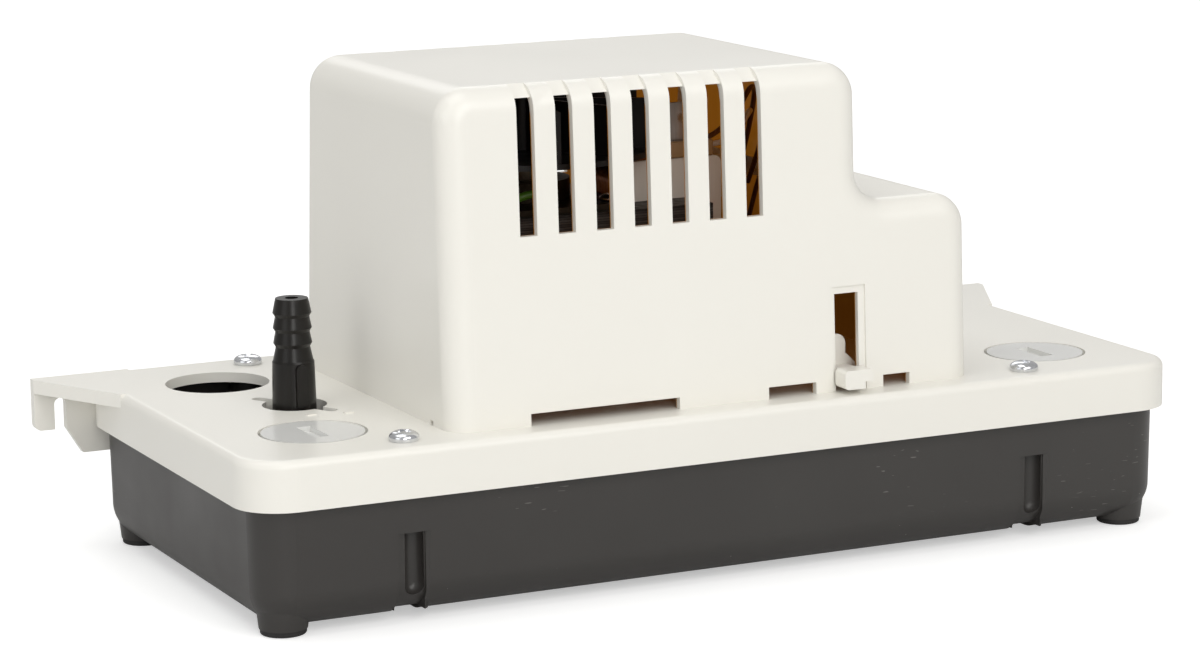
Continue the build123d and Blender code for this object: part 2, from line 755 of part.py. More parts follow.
discharge_fitting.part.label = "discharge_fitting"
export_step(discharge_fitting.part, "parts/discharge_fitting.step")

with BuildPart() as fitting_o_ring:
    with BuildSketch(axis_plane):
        with Locations((riser_bore - ring_section - seat_fit, ring_z)):
            Circle(ring_section)
    revolve(axis=Axis(origin=(discharge_x, discharge_y, 0), direction=(0, 0, 1)))
fitting_o_ring.part.label = "fitting_o_ring"
export_step(fitting_o_ring.part, "parts/fitting_o_ring.step")

with BuildPart() as valve_seat:
    with BuildSketch(Plane(origin=(discharge_x, discharge_y, fitting_bottom_z))):
        Circle(cage_radius - seat_fit)
        Circle(seat_bore, mode=Mode.SUBTRACT)
    extrude(amount=seat_height)
valve_seat.part.label = "valve_seat"
export_step(valve_seat.part, "parts/valve_seat.step")

with BuildPart() as check_ball:
    ball_z = fitting_bottom_z + seat_height + sqrt(ball_radius ** 2 - seat_bore ** 2) + running_fit
    with Locations((discharge_x, discharge_y, ball_z)):
        Sphere(ball_radius)
check_ball.part.label = "check_ball"
export_step(check_ball.part, "parts/check_ball.step")

# ================================================================ volute with its outlet duct and riser
with BuildPart() as volute_body:
    with BuildSketch(Plane.XY.offset(volute_bottom_z)):
        with Locations((motor_x, motor_y)):
            Circle(volute_radius)
        with Locations(*volute_screw_places):
            Circle(post_radius + post_wall)
    extrude(amount=volute_height)
    with BuildSketch(Plane(origin=(motor_x, discharge_y, duct_z), x_dir=(0, 1, 0), z_dir=(-1, 0, 0))):
        Circle(duct_radius)
    extrude(amount=motor_x - discharge_x)
    riser_bottom_z = duct_z - duct_radius
    with BuildSketch(Plane(origin=(discharge_x, discharge_y, riser_bottom_z))):
        Circle(riser_radius)
    extrude(amount=lid_under_z - 2 * gap - wing_thickness - riser_bottom_z)
    # pump chamber, open below
    with BuildSketch(Plane.XY.offset(volute_bottom_z)):
        with Locations((motor_x, motor_y)):
            Circle(volute_radius - volute_wall)
    extrude(amount=volute_height - volute_wall, mode=Mode.SUBTRACT)
    with BuildSketch(Plane.XY.offset(volute_bottom_z)):
        with Locations((motor_x, motor_y)):
            Circle(shaft_radius + gap)
        with Locations(*volute_screw_places):
            Circle(screw_radius + seat_fit)
    extrude(amount=volute_height, mode=Mode.SUBTRACT)
    with BuildSketch(Plane(origin=(motor_x, discharge_y, duct_z), x_dir=(0, 1, 0), z_dir=(-1, 0, 0))):
        Circle(duct_bore)
    extrude(amount=motor_x - discharge_x, mode=Mode.SUBTRACT)
    with BuildSketch(Plane(origin=(discharge_x, discharge_y, riser_bottom_z + volute_wall / 2))):
        Circle(riser_bore)
    extrude(amount=lid_top_z, mode=Mode.SUBTRACT)
volute_body.part.label = "volute_body"
export_step(volute_body.part, "parts/volute_body.step")

with BuildPart() as volute_floor:
    with BuildSketch(Plane.XY.offset(volute_ground)):
        with Locations((motor_x, motor_y)):
            Circle(volute_radius)
        with Locations(*volute_screw_places):
            Circle(post_radius + post_wall)
        with Locations((motor_x, motor_y)):
            Circle(volute_eye_radius, mode=Mode.SUBTRACT)
        with Locations(*volute_screw_places):
            Circle(screw_radius + seat_fit, mode=Mode.SUBTRACT)
    extrude(amount=volute_plate)
volute_floor.part.label = "volute_plate"
export_step(volute_floor.part, "parts/volute_plate.step")

impeller_z = volute_bottom_z + shaft_bottom_gap
with BuildPart() as impeller:
    with BuildSketch(Plane(origin=(motor_x, motor_y, impeller_z + impeller_height - vane_thickness))):
        Circle(impeller_radius)
    extrude(amount=vane_thickness)
    with BuildSketch(Plane(origin=(motor_x, motor_y, impeller_z))):
        Circle(impeller_hub_radius)
    extrude(amount=impeller_height)
    with BuildSketch(Plane(origin=(motor_x, motor_y, impeller_z))):
        with PolarLocations(0, impeller_vanes):
            with Locations((impeller_radius / 2 + vane_shift, 0)):
                Rectangle(impeller_radius - vane_inset, vane_thickness, rotation=vane_angle)
    extrude(amount=impeller_height - vane_thickness)
    with BuildSketch(Plane(origin=(motor_x, motor_y, impeller_z + vane_thickness))):
        Circle(shaft_radius + seat_fit)
    extrude(amount=impeller_height, mode=Mode.SUBTRACT)
impeller.part.label = "impeller"
export_step(impeller.part, "parts/impeller.step")

# ================================================================ motor
shaft_z = impeller_z + vane_thickness
shaft_top_z = fan_z + fan_height + 1.0
with BuildPart() as motor_shaft:
    with BuildSketch(Plane(origin=(motor_x, motor_y, shaft_z))):
        Circle(shaft_radius)
    extrude(amount=shaft_top_z - shaft_z)
    chamfer(motor_shaft.edges().sort_by(Axis.Z)[-1], length=0.5)
motor_shaft.part.label = "motor_shaft"
export_step(motor_shaft.part, "parts/motor_shaft.step")

with BuildPart() as shaft_slinger:
    with BuildSketch(Plane(origin=(motor_x, motor_y, lid_top_z + slinger_above_lid))):
        Circle(slinger_radius)
        Circle(shaft_radius + seat_fit, mode=Mode.SUBTRACT)
    extrude(amount=slinger_thickness)
shaft_slinger.part.label = "shaft_slinger"
export_step(shaft_slinger.part, "parts/shaft_slinger.step")

with BuildPart() as rotor:
    with BuildSketch(Plane(origin=(motor_x, motor_y, stack_z))):
        Circle(rotor_radius)
        Circle(shaft_radius + seat_fit, mode=Mode.SUBTRACT)
    extrude(amount=stack_height)
rotor.part.label = "rotor"
export_step(rotor.part, "parts/rotor.step")

with BuildPart() as stator_core:
    with BuildSketch(Plane.XY.offset(stack_z)):
        with Locations(((motor_x - stack_left + leg_out) / 2, motor_y)):
            Rectangle(leg_out - motor_x + stack_left, stack_width)
        with Locations((leg_in - window_width / 2, motor_y)):
            Rectangle(window_width, window_length, mode=Mode.SUBTRACT)
        with Locations((motor_x, motor_y)):
            Circle(rotor_radius + air_gap, mode=Mode.SUBTRACT)
        with Locations(*motor_screw_places):
            Circle(motor_screw_radius + seat_fit, mode=Mode.SUBTRACT)
    extrude(amount=stack_height)
stator_core.part.label = "stator_core"
export_step(stator_core.part, "parts/stator_core.step")

leg_x = (leg_in + leg_out) / 2
stack_mid_z = stack_z + stack_height / 2
bobbin_length = window_length - 2 * gap
with BuildPart() as coil_bobbin:
    core_width = leg_width + 2 * seat_fit
    core_height = stack_height + 2 * seat_fit
    with BuildSketch(Plane(origin=(leg_x, motor_y - bobbin_length / 2, stack_mid_z), x_dir=(1, 0, 0),
                           z_dir=(0, 1, 0))):
        Rectangle(core_width + 2 * bobbin_wall, core_height + 2 * bobbin_wall)
    extrude(amount=bobbin_length)
    for start, direction in ((motor_y - bobbin_length / 2, 1), (motor_y + bobbin_length / 2, -1)):
        with BuildSketch(Plane(origin=(leg_x, start, stack_mid_z), x_dir=(1, 0, 0), z_dir=(0, direction, 0))):
            RectangleRounded(leg_width + 2 * (coil_build + bobbin_lip),
                             stack_height + 2 * (coil_build + bobbin_rise), bobbin_corner)
        extrude(amount=bobbin_flange)
    with BuildSketch(Plane(origin=(leg_x, motor_y - bobbin_length / 2, stack_mid_z), x_dir=(1, 0, 0),
                           z_dir=(0, 1, 0))):
        Rectangle(core_width, core_height)
    extrude(amount=bobbin_length, mode=Mode.SUBTRACT)
coil_bobbin.part.label = "coil_bobbin"
export_step(coil_bobbin.part, "parts/coil_bobbin.step")

with BuildPart() as coil_winding:
    winding_length = bobbin_length - 2 * bobbin_flange
    with BuildSketch(Plane(origin=(leg_x, motor_y - winding_length / 2, stack_mid_z), x_dir=(1, 0, 0),
                           z_dir=(0, 1, 0))):
        RectangleRounded(leg_width + 2 * coil_build, stack_height + 2 * coil_build, winding_corner)
        Rectangle(core_width + 2 * bobbin_wall, core_height + 2 * bobbin_wall, mode=Mode.SUBTRACT)
    extrude(amount=winding_length)
coil_winding.part.label = "coil_winding"
export_step(coil_winding.part, "parts/coil_winding.step")


def bearing_bracket(face_z, up):
    # flat plate with a raised cup and a bearing boss, seated on the stack's face
    base = Plane(origin=(motor_x, motor_y, face_z), x_dir=(1, 0, 0), z_dir=(0, 0, up))
    with BuildPart() as bracket:
        with BuildSketch(base):
            RectangleRounded(bracket_length, bracket_width, 5.0)
            with GridLocations(motor_screw_spacing, motor_screw_spacing, 2, 2):
                Circle(motor_screw_radius + seat_fit, mode=Mode.SUBTRACT)
        extrude(amount=bracket_plate)
        with BuildSketch(base):
            Circle(bracket_cup_radius)
        extrude(amount=bracket_cup_height)
        with BuildSketch(base):
            Circle(bracket_boss_radius)
        extrude(amount=bracket_boss_height)
        with BuildSketch(base):
            Circle(bracket_cup_radius - bracket_plate)
        extrude(amount=bracket_cup_height - bracket_plate, mode=Mode.SUBTRACT)
        with BuildSketch(base):
            Circle(bearing_radius + seat_fit)
        extrude(amount=bracket_boss_height, mode=Mode.SUBTRACT)
    return bracket.part


def bearing(face_z, up):
    # plain bush, flush with the end of its boss
    base = Plane(origin=(motor_x, motor_y, face_z + up * bracket_boss_height), x_dir=(1, 0, 0), z_dir=(0, 0, -up))
    with BuildPart() as bush:
        with BuildSketch(base):
            Circle(bearing_radius)
            Circle(shaft_radius + running_fit, mode=Mode.SUBTRACT)
        extrude(amount=bearing_length)
    return bush.part


for bracket_name, bracket_z, bracket_up in (("upper", stack_top_z, 1), ("lower", stack_z, -1)):
    bracket = bearing_bracket(bracket_z, bracket_up)
    bracket.label = f"{bracket_name}_bearing_bracket"
    export_step(bracket, f"parts/{bracket_name}_bearing_bracket.step")
    bush = bearing(bracket_z, bracket_up)
    bush.label = f"{bracket_name}_bearing"
    export_step(bush, f"parts/{bracket_name}_bearing.step")

with BuildPart() as cooling_fan:
    with BuildSketch(Plane(origin=(motor_x, motor_y, fan_z))):
        Circle(fan_radius)
    extrude(amount=fan_plate)
    with BuildSketch(Plane(origin=(motor_x, motor_y, fan_z))):
        Circle(fan_hub_radius)
    extrude(amount=fan_height)
    with BuildSketch(Plane(origin=(motor_x, motor_y, fan_z))):
        with PolarLocations(0, fan_blades):
            with Locations(((fan_radius + fan_hub_radius) / 2, 0)):
                Rectangle(fan_radius - fan_hub_radius - 2 * fan_blade_inset, fan_blade_thickness)
    extrude(amount=fan_height - fan_blade_inset)
    with BuildSketch(Plane(origin=(motor_x, motor_y, fan_z))):
        Circle(shaft_radius + seat_fit)
    extrude(amount=fan_height, mode=Mode.SUBTRACT)
cooling_fan.part.label = "cooling_fan"
export_step(cooling_fan.part, "parts/cooling_fan.step")

# ================================================================ float and its test lever
float_top_z = float_ground + float_height
with BuildPart() as float_body:
    with BuildSketch(Plane(origin=(lever_x, -float_front + float_width / 2, float_ground))):
        RectangleRounded(float_length, float_width, float_corner)
    extrude(amount=float_height)
    fillet(float_body.faces().filter_by(Axis.Z).edges(), radius=float_edge_round)
    with BuildSketch(Plane(origin=(lever_x, stem_y, float_top_z))):
        Circle(stem_radius + seat_fit)
    extrude(amount=-stem_socket, mode=Mode.SUBTRACT)
float_body.part.label = "float"
export_step(float_body.part, "parts/float.step")

front_plane = Plane(origin=(lever_x, -web_face, 0), x_dir=(1, 0, 0), z_dir=(0, -1, 0))
neck_z = lid_top_z + neck_lift
tab_z = lid_top_z + tab_lift
knob_z = pivot_z + lever_rod_radius - knob_radius
knob_foot_z = knob_z + knob_radius - knob_height
with BuildPart() as test_lever:
    # rod from the pivot hub to the web
    with BuildSketch(front_plane):
        with Locations((0, pivot_z)):
            Circle(lever_rod_radius)
    extrude(amount=-(pivot_y + web_face))
    # tapered web under a round head
    with BuildSketch(front_plane):
        with BuildLine():
            Polyline((-knob_radius, knob_z), (knob_radius, knob_z), (knob_radius, knob_foot_z),
                     (neck_width, neck_z + neck_height), (neck_width, neck_z), (-neck_width, neck_z),
                     (-neck_width, neck_z + neck_height), (-knob_radius, knob_foot_z), close=True)
        make_face()
        with Locations((0, knob_z)):
            Circle(knob_radius)
    extrude(amount=-web_thickness)
    # neck through the cover's slot, and the finger tab
    tab_back = cover_front + gap
    with BuildSketch(front_plane):
        with Locations((0, neck_z + neck_height / 2)):
            Rectangle(neck_width, neck_height)
    extrude(amount=tab_back - web_face)
    with BuildSketch(Plane(origin=(lever_x, -tab_back, 0), x_dir=(1, 0, 0), z_dir=(0, -1, 0))):
        with Locations((0, tab_z + tab_height / 2)):
            RectangleRounded(tab_width, tab_height, tab_corner)
        with Locations((tab_width / 2, tab_z)):
            Rectangle(2 * tab_step_width, 2 * tab_step_height, mode=Mode.SUBTRACT)
    extrude(amount=tab_reach)
    # stem down to the float
    with BuildSketch(Plane(origin=(lever_x, stem_y, pivot_z))):
        Circle(stem_radius)
    extrude(amount=-(pivot_z - float_top_z + stem_socket))
    # paddle that works the switches
    with BuildSketch(Plane(origin=(lever_x, pivot_y - paddle_reach + paddle_depth / 2,
                                   pivot_z + lever_rod_radius))):
        Rectangle(2 * switch_thickness - 8 * gap, paddle_depth)
    extrude(amount=-paddle_thickness)
    # pivot hub
    with BuildSketch(Plane(origin=(lever_x, pivot_y, pivot_z), x_dir=(0, 1, 0), z_dir=(1, 0, 0))):
        Circle(lever_hub_radius)
    extrude(amount=lever_hub_length / 2, both=True)
    with BuildSketch(Plane(origin=(lever_x, pivot_y, pivot_z), x_dir=(0, 1, 0), z_dir=(1, 0, 0))):
        Circle(pivot_pin_radius + running_fit)
    extrude(amount=lever_hub_length, both=True, mode=Mode.SUBTRACT)
test_lever.part.label = "test_lever"
export_step(test_lever.part, "parts/test_lever.step")

with BuildPart() as pivot_pin:
    with BuildSketch(Plane(origin=(lever_x, pivot_y, pivot_z), x_dir=(0, 1, 0), z_dir=(1, 0, 0))):
        Circle(pivot_pin_radius)
    extrude(amount=switch_thickness + switch_plate + 1.0, both=True)
pivot_pin.part.label = "pivot_pin"
export_step(pivot_pin.part, "parts/pivot_pin.step")

# ================================================================ switches on their bracket
switch_y = pivot_y - plunger_from_pivot                              # plunger axis
switch_mid_y = switch_y + switch_behind_plunger
switch_front_y = switch_mid_y - switch_length / 2
# the rod, lifted to its stop, clears the front of the cases
switch_z = (pivot_z + (pivot_y - switch_front_y) * tan(radians(lever_swing))
            + lever_rod_radius / cos(radians(lever_swing)) + gap)
plunger_z = pivot_z + lever_rod_radius + gap
switch_holes = ((switch_mid_y - switch_hole_spacing / 2, switch_z + switch_hole_low),
                (switch_mid_y + switch_hole_spacing / 2, switch_z + switch_hole_high))

with BuildPart() as switch_bracket:
    plate_top = switch_z + switch_height
    for side in (-1, 1):
        with BuildSketch(Plane(origin=(lever_x + side * switch_thickness, 0, 0), x_dir=(0, 1, 0), z_dir=(1, 0, 0))):
            with BuildLine():
                Polyline((pivot_y + switch_plate_reach, lid_top_z),
                         (pivot_y + switch_plate_reach, plate_top),
                         (switch_front_y - switch_plate_margin, plate_top),
                         (switch_front_y - switch_plate_margin, switch_z),
                         (pivot_y - switch_plate_reach, pivot_z + lever_hub_radius),
                         (pivot_y - switch_plate_reach, lid_top_z), close=True)
            make_face()
            with Locations((pivot_y, pivot_z)):
                Circle(pivot_pin_radius + seat_fit, mode=Mode.SUBTRACT)
            with Locations(*switch_holes):
                Circle(screw_radius + seat_fit, mode=Mode.SUBTRACT)
        extrude(amount=side * switch_plate)
    with BuildSketch(Plane(origin=(lever_x, pivot_y, lid_top_z))):
        Rectangle(2 * (switch_thickness + switch_plate), 2 * switch_plate_reach)
        Circle(screw_radius + gap, mode=Mode.SUBTRACT)
    extrude(amount=switch_plate)
switch_bracket.part.label = "switch_bracket"
export_step(switch_bracket.part, "parts/switch_bracket.step")


def switch_case(side):
    # snap-action switch case, with its plunger bore below and two mounting holes
    with BuildPart() as case:
        with BuildSketch(Plane(origin=(lever_x, 0, 0), x_dir=(0, 1, 0), z_dir=(1, 0, 0))):
            with Locations((switch_mid_y, switch_z + switch_height / 2)):
                Rectangle(switch_length, switch_height)
            with Locations(*switch_holes):
                Circle(screw_radius + seat_fit, mode=Mode.SUBTRACT)
        extrude(amount=side * switch_thickness)
        with BuildSketch(Plane(origin=(lever_x + side * switch_thickness / 2, switch_y, switch_z))):
            Circle(plunger_radius + running_fit)
        extrude(amount=plunger_seat + plunger_travel + gap, mode=Mode.SUBTRACT)
    return case.part


def plunger(side):
    # push button that the paddle lifts
    with BuildPart() as button:
        with BuildSketch(Plane(origin=(lever_x + side * switch_thickness / 2, switch_y, plunger_z))):
            Circle(plunger_radius)
        extrude(amount=switch_z - plunger_z + plunger_seat)
        fillet(button.edges().sort_by(Axis.Z)[0], radius=plunger_radius * 0.4)
    return button.part


for switch_name, switch_side in (("run_switch", -1), ("safety_switch", 1)):
    case = switch_case(switch_side)
    case.label = switch_name
    export_step(case, f"parts/{switch_name}.step")
    button = plunger(switch_side)
    button.label = f"{switch_name}_plunger"
    export_step(button, f"parts/{switch_name}_plunger.step")

with BuildPart() as switch_screws:
    with BuildSketch(Plane(origin=(lever_x + switch_thickness + switch_plate, 0, 0), x_dir=(0, 1, 0),
                           z_dir=(1, 0, 0))):
        with Locations(*switch_holes):
            Circle(screw_radius * head_ratio)
    extrude(amount=head_height)
    with BuildSketch(Plane(origin=(lever_x + switch_thickness + switch_plate, 0, 0), x_dir=(0, 1, 0),
                           z_dir=(1, 0, 0))):
        with Locations(*switch_holes):
            Circle(screw_radius)
    extrude(amount=-2 * (switch_thickness + switch_plate) - 1.0)
switch_screws.part.label = "switch_screws"
export_step(switch_screws.part, "parts/switch_screws.step")

# ================================================================ cord gland
gland_y = back_face_y(gland_z - gland_flange_radius)
with BuildPart() as cord_gland:
    with BuildSketch(Plane(origin=(gland_x, gland_y, gland_z), x_dir=(1, 0, 0), z_dir=(0, 1, 0))):
        RectangleRounded(2 * gland_flange_radius, 2 * gland_flange_radius, 3.0)
    extrude(amount=gland_flange)
    with BuildSketch(Plane(origin=(gland_x, gland_y, gland_z), x_dir=(1, 0, 0), z_dir=(0, 1, 0))):
        Circle(gland_radius)
    extrude(amount=-(cover_wall + 3.0))
    with BuildSketch(Plane(origin=(gland_x, gland_y + gland_flange + 3, gland_z), x_dir=(1, 0, 0),
                           z_dir=(0, 1, 0))):
        Circle(gland_bore_radius)
    extrude(amount=-20.0, mode=Mode.SUBTRACT)
cord_gland.part.label = "cord_gland"
export_step(cord_gland.part, "parts/cord_gland.step")
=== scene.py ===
import math

import bmesh
import bpy
from mathutils import Matrix, Vector


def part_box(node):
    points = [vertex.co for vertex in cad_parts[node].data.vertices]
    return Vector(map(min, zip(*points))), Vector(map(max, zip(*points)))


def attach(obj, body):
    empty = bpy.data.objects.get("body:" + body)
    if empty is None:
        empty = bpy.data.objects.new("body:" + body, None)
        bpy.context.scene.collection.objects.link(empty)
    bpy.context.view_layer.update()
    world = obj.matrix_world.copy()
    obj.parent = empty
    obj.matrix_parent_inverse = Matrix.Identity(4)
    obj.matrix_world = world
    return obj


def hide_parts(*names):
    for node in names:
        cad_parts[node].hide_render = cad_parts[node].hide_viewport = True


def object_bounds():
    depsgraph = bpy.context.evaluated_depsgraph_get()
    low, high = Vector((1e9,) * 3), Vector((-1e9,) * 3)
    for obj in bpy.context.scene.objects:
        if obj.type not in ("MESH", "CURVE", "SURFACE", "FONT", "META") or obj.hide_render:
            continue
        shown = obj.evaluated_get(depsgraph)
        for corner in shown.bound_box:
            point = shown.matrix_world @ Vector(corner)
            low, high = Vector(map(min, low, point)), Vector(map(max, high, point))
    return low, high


# Condensate pump: dark tank, ivory lid and vented motor cover, barbed outlet. Metres, +Z up.

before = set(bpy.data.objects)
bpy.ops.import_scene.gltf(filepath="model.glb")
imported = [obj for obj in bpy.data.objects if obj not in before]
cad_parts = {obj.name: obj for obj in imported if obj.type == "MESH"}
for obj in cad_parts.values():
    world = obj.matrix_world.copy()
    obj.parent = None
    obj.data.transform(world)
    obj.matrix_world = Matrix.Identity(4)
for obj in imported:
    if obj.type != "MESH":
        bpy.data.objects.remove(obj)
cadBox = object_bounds()
print("frame loaded:", len(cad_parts), "nodes")

mm = 0.001


# Camera, lamps and floor.

cameraSettings = {
    "place": (-0.44764, -0.91803, 0.25198),
    "yaw": -25.508,          # degrees round Z, 0 looks along +Y
    "pitch": 10.8165,        # degrees down
    "roll": 0.7311,
    "lens": 112.08,
}

lampSettings = {
    # name: place, width, height, power, tint
    "keyPanel": ((0.30, -1.90, 1.45), 1.5, 1.2, 16.8, (1.0, 0.99, 0.975)),
    "fillPanel": ((-0.50, -1.55, 0.52), 0.45, 0.6, 4.6, (1.0, 0.995, 0.98)),
    "topPanel": ((-0.55, 0.05, 2.05), 1.6, 1.5, 12.0, (1.0, 1.0, 1.0)),
    "leftPanel": ((-1.9, -0.7, 0.75), 1.1, 1.1, 4.4, (0.98, 0.99, 1.0)),
    "backPanel": ((0.7, 1.9, 1.3), 1.6, 1.0, 7.0, (1.0, 1.0, 1.0)),
}

stageSettings = {
    "worldStrength": 0.44,
    "worldTint": (1.0, 0.995, 0.985),
    "floorColour": (0.80, 0.80, 0.795),
    "floorSize": 9.0,
    "floorDrop": 0.00005,    # under the feet
    "aim": (0, 0, 0.05),     # where the lamps point
    "floorGlow": 0.46,       # for camera rays only
}


def makeCamera(settings):
    yaw = math.radians(settings["yaw"])
    pitch = math.radians(settings["pitch"])
    roll = math.radians(settings["roll"])
    back = Vector((math.sin(yaw) * math.cos(pitch), -math.cos(yaw) * math.cos(pitch), math.sin(pitch)))
    right = (-back).cross(Vector((0, 0, 1))).normalized()
    down = (-back).cross(right)
    across = right * math.cos(roll) + down * math.sin(roll)
    below = down * math.cos(roll) - right * math.sin(roll)
    data = bpy.data.cameras.new("camera")
    data.sensor_width = 36.0
    data.lens = settings["lens"]
    camera = bpy.data.objects.new("camera", data)
    turn = Matrix((across, -below, back)).transposed().to_4x4()
    camera.matrix_world = Matrix.Translation(settings["place"]) @ turn
    bpy.context.collection.objects.link(camera)
    bpy.context.scene.camera = camera


def makeLamp(name, place, width, height, power, tint):
    data = bpy.data.lights.new(name, "AREA")
    data.shape = "RECTANGLE"
    data.size, data.size_y = width, height
    data.energy = power
    data.color = tint
    lamp = bpy.data.objects.new(name, data)
    lamp.location = place
    lamp.rotation_mode = "QUATERNION"
    lamp.rotation_quaternion = (Vector(place) - Vector(stageSettings["aim"])).to_track_quat("Z", "Y")
    bpy.context.collection.objects.link(lamp)


def makeWorld(settings):
    world = bpy.data.worlds.new("studio")
    bpy.context.scene.world = world
    world.use_nodes = True
    tree = world.node_tree
    tree.nodes.clear()
    out = tree.nodes.new("ShaderNodeOutputWorld")
    light = tree.nodes.new("ShaderNodeBackground")
    light.inputs["Color"].default_value = (*settings["worldTint"], 1)
    light.inputs["Strength"].default_value = settings["worldStrength"]
    plain = tree.nodes.new("ShaderNodeBackground")
    plain.inputs["Color"].default_value = (1, 1, 1, 1)
    path = tree.nodes.new("ShaderNodeLightPath")
    seen = tree.nodes.new("ShaderNodeMath")
    seen.operation = "MAXIMUM"
    tree.links.new(path.outputs["Is Camera Ray"], seen.inputs[0])
    tree.links.new(path.outputs["Is Transmission Ray"], seen.inputs[1])
    pick = tree.nodes.new("ShaderNodeMixShader")
    tree.links.new(seen.outputs[0], pick.inputs[0])
    tree.links.new(light.outputs[0], pick.inputs[1])
    tree.links.new(plain.outputs[0], pick.inputs[2])
    tree.links.new(pick.outputs[0], out.inputs["Surface"])


def makeFloor(settings):
    bm = bmesh.new()
    bmesh.ops.create_circle(bm, cap_ends=True, segments=64, radius=settings["floorSize"])
    mesh = bpy.data.meshes.new("floor")
    bm.to_mesh(mesh)
    bm.free()
    floor = bpy.data.objects.new("floor", mesh)
    bpy.context.collection.objects.link(floor)
    floor.location.z = cadBox[0].z - settings["floorDrop"]
    material = bpy.data.materials.new("floorPaper")
    material.use_nodes = True
    tree = material.node_tree
    tree.nodes.clear()
    out = tree.nodes.new("ShaderNodeOutputMaterial")
    paper = tree.nodes.new("ShaderNodeBsdfDiffuse")
    paper.inputs["Color"].default_value = (*settings["floorColour"], 1)
    glow = tree.nodes.new("ShaderNodeEmission")
    path = tree.nodes.new("ShaderNodeLightPath")
    strength = tree.nodes.new("ShaderNodeMath")
    strength.operation = "MULTIPLY"
    strength.inputs[1].default_value = settings["floorGlow"]
    tree.links.new(path.outputs["Is Camera Ray"], strength.inputs[0])
    tree.links.new(strength.outputs[0], glow.inputs["Strength"])
    both = tree.nodes.new("ShaderNodeAddShader")
    tree.links.new(paper.outputs[0], both.inputs[0])
    tree.links.new(glow.outputs[0], both.inputs[1])
    tree.links.new(both.outputs[0], out.inputs["Surface"])
    mesh.materials.append(material)


bpy.context.scene.view_settings.view_transform = "Standard"
makeCamera(cameraSettings)
for lampName, (lampPlace, lampWidth, lampHeight, lampPower, lampTint) in lampSettings.items():
    makeLamp(lampName, lampPlace, lampWidth, lampHeight, lampPower, lampTint)
makeWorld(stageSettings)
makeFloor(stageSettings)
print("camera, lamps and floor made")


# Finishes, all from object coordinates.

class Finish:
    # a principled material with the few node chains that every finish here uses

    def __init__(self, name, roughness=0.5, metallic=0.0):
        self.material = bpy.data.materials.new(name)
        self.material.use_nodes = True
        self.tree = self.material.node_tree
        self.tree.nodes.clear()
        out = self.tree.nodes.new("ShaderNodeOutputMaterial")
        self.shader = self.tree.nodes.new("ShaderNodeBsdfPrincipled")
        self.link(self.shader.outputs[0], out.inputs["Surface"])
        self.shader.inputs["Roughness"].default_value = roughness
        self.shader.inputs["Metallic"].default_value = metallic
        self.coords = self.tree.nodes.new("ShaderNodeTexCoord").outputs["Object"]
        self.normal = None

    def link(self, a, b):
        self.tree.links.new(a, b)

    def place(self, scale=(1, 1, 1), turn=(0, 0, 0), shift=(0, 0, 0)):
        node = self.tree.nodes.new("ShaderNodeMapping")
        node.inputs["Scale"].default_value = scale
        node.inputs["Rotation"].default_value = turn
        node.inputs["Location"].default_value = shift
        self.link(self.coords, node.inputs["Vector"])
        return node.outputs[0]

    def noise(self, scale, detail=3.0, roughness=0.55, at=None):
        node = self.tree.nodes.new("ShaderNodeTexNoise")
        node.inputs["Scale"].default_value = scale
        node.inputs["Detail"].default_value = detail
        node.inputs["Roughness"].default_value = roughness
        self.link(at or self.coords, node.inputs["Vector"])
        return node.outputs["Fac"]

    def specks(self, scale, size, at=None):
        # 1 in small round specks of uneven size
        node = self.tree.nodes.new("ShaderNodeTexVoronoi")
        node.inputs["Scale"].default_value = scale
        self.link(at or self.coords, node.inputs["Vector"])
        limit = self.maths("MULTIPLY", self.separate(node.outputs["Color"])[0], size)
        limit = self.maths("MULTIPLY", limit, self.separate(node.outputs["Color"])[1])
        return self.maths("LESS_THAN", node.outputs["Distance"], limit)

    def separate(self, value):
        node = self.tree.nodes.new("ShaderNodeSeparateXYZ")
        self.link(value, node.inputs[0])
        return node.outputs

    def maths(self, operation, a, b=0.0, c=None):
        node = self.tree.nodes.new("ShaderNodeMath")
        node.operation = operation
        for socket, value in zip(node.inputs, (a, b, c)):
            if value is None:
                continue
            if isinstance(value, (int, float)):
                socket.default_value = value
            else:
                self.link(value, socket)
        return node.outputs[0]

    def spread(self, value, low, high, outLow=0.0, outHigh=1.0):
        node = self.tree.nodes.new("ShaderNodeMapRange")
        self.link(value, node.inputs["Value"])
        node.inputs["From Min"].default_value = low
        node.inputs["From Max"].default_value = high
        node.inputs["To Min"].default_value = outLow
        node.inputs["To Max"].default_value = outHigh
        return node.outputs[0]

    def mix(self, factor, a, b):
        node = self.tree.nodes.new("ShaderNodeMix")
        node.data_type = "RGBA"
        self.link(factor, node.inputs[0])
        for socket, value in ((node.inputs[6], a), (node.inputs[7], b)):
            if isinstance(value, tuple):
                socket.default_value = (*value, 1)
            else:
                self.link(value, socket)
        return node.outputs[2]

    def bump(self, height, distance, strength=1.0):
        node = self.tree.nodes.new("ShaderNodeBump")
        node.inputs["Strength"].default_value = strength
        node.inputs["Distance"].default_value = distance
        self.link(height, node.inputs["Height"])
        if self.normal is not None:
            self.link(self.normal, node.inputs["Normal"])
        self.normal = node.outputs[0]

    def done(self, colour=None, roughness=None):
        if colour is not None:
            self.link(colour, self.shader.inputs["Base Color"])
        if roughness is not None:
            self.link(roughness, self.shader.inputs["Roughness"])
        if self.normal is not None:
            self.link(self.normal, self.shader.inputs["Normal"])
        return self.material


ivory = {
    "colour": (0.862, 0.845, 0.785),
    "shade": (0.832, 0.812, 0.752),
    "mark": (0.42, 0.36, 0.27),
    "markSize": 0.028,       # over the spacing of the marks
    "markShow": 0.5,
    "roughness": (0.285, 0.36),
    "grain": 0.000010,
    "ior": 1.5,
}


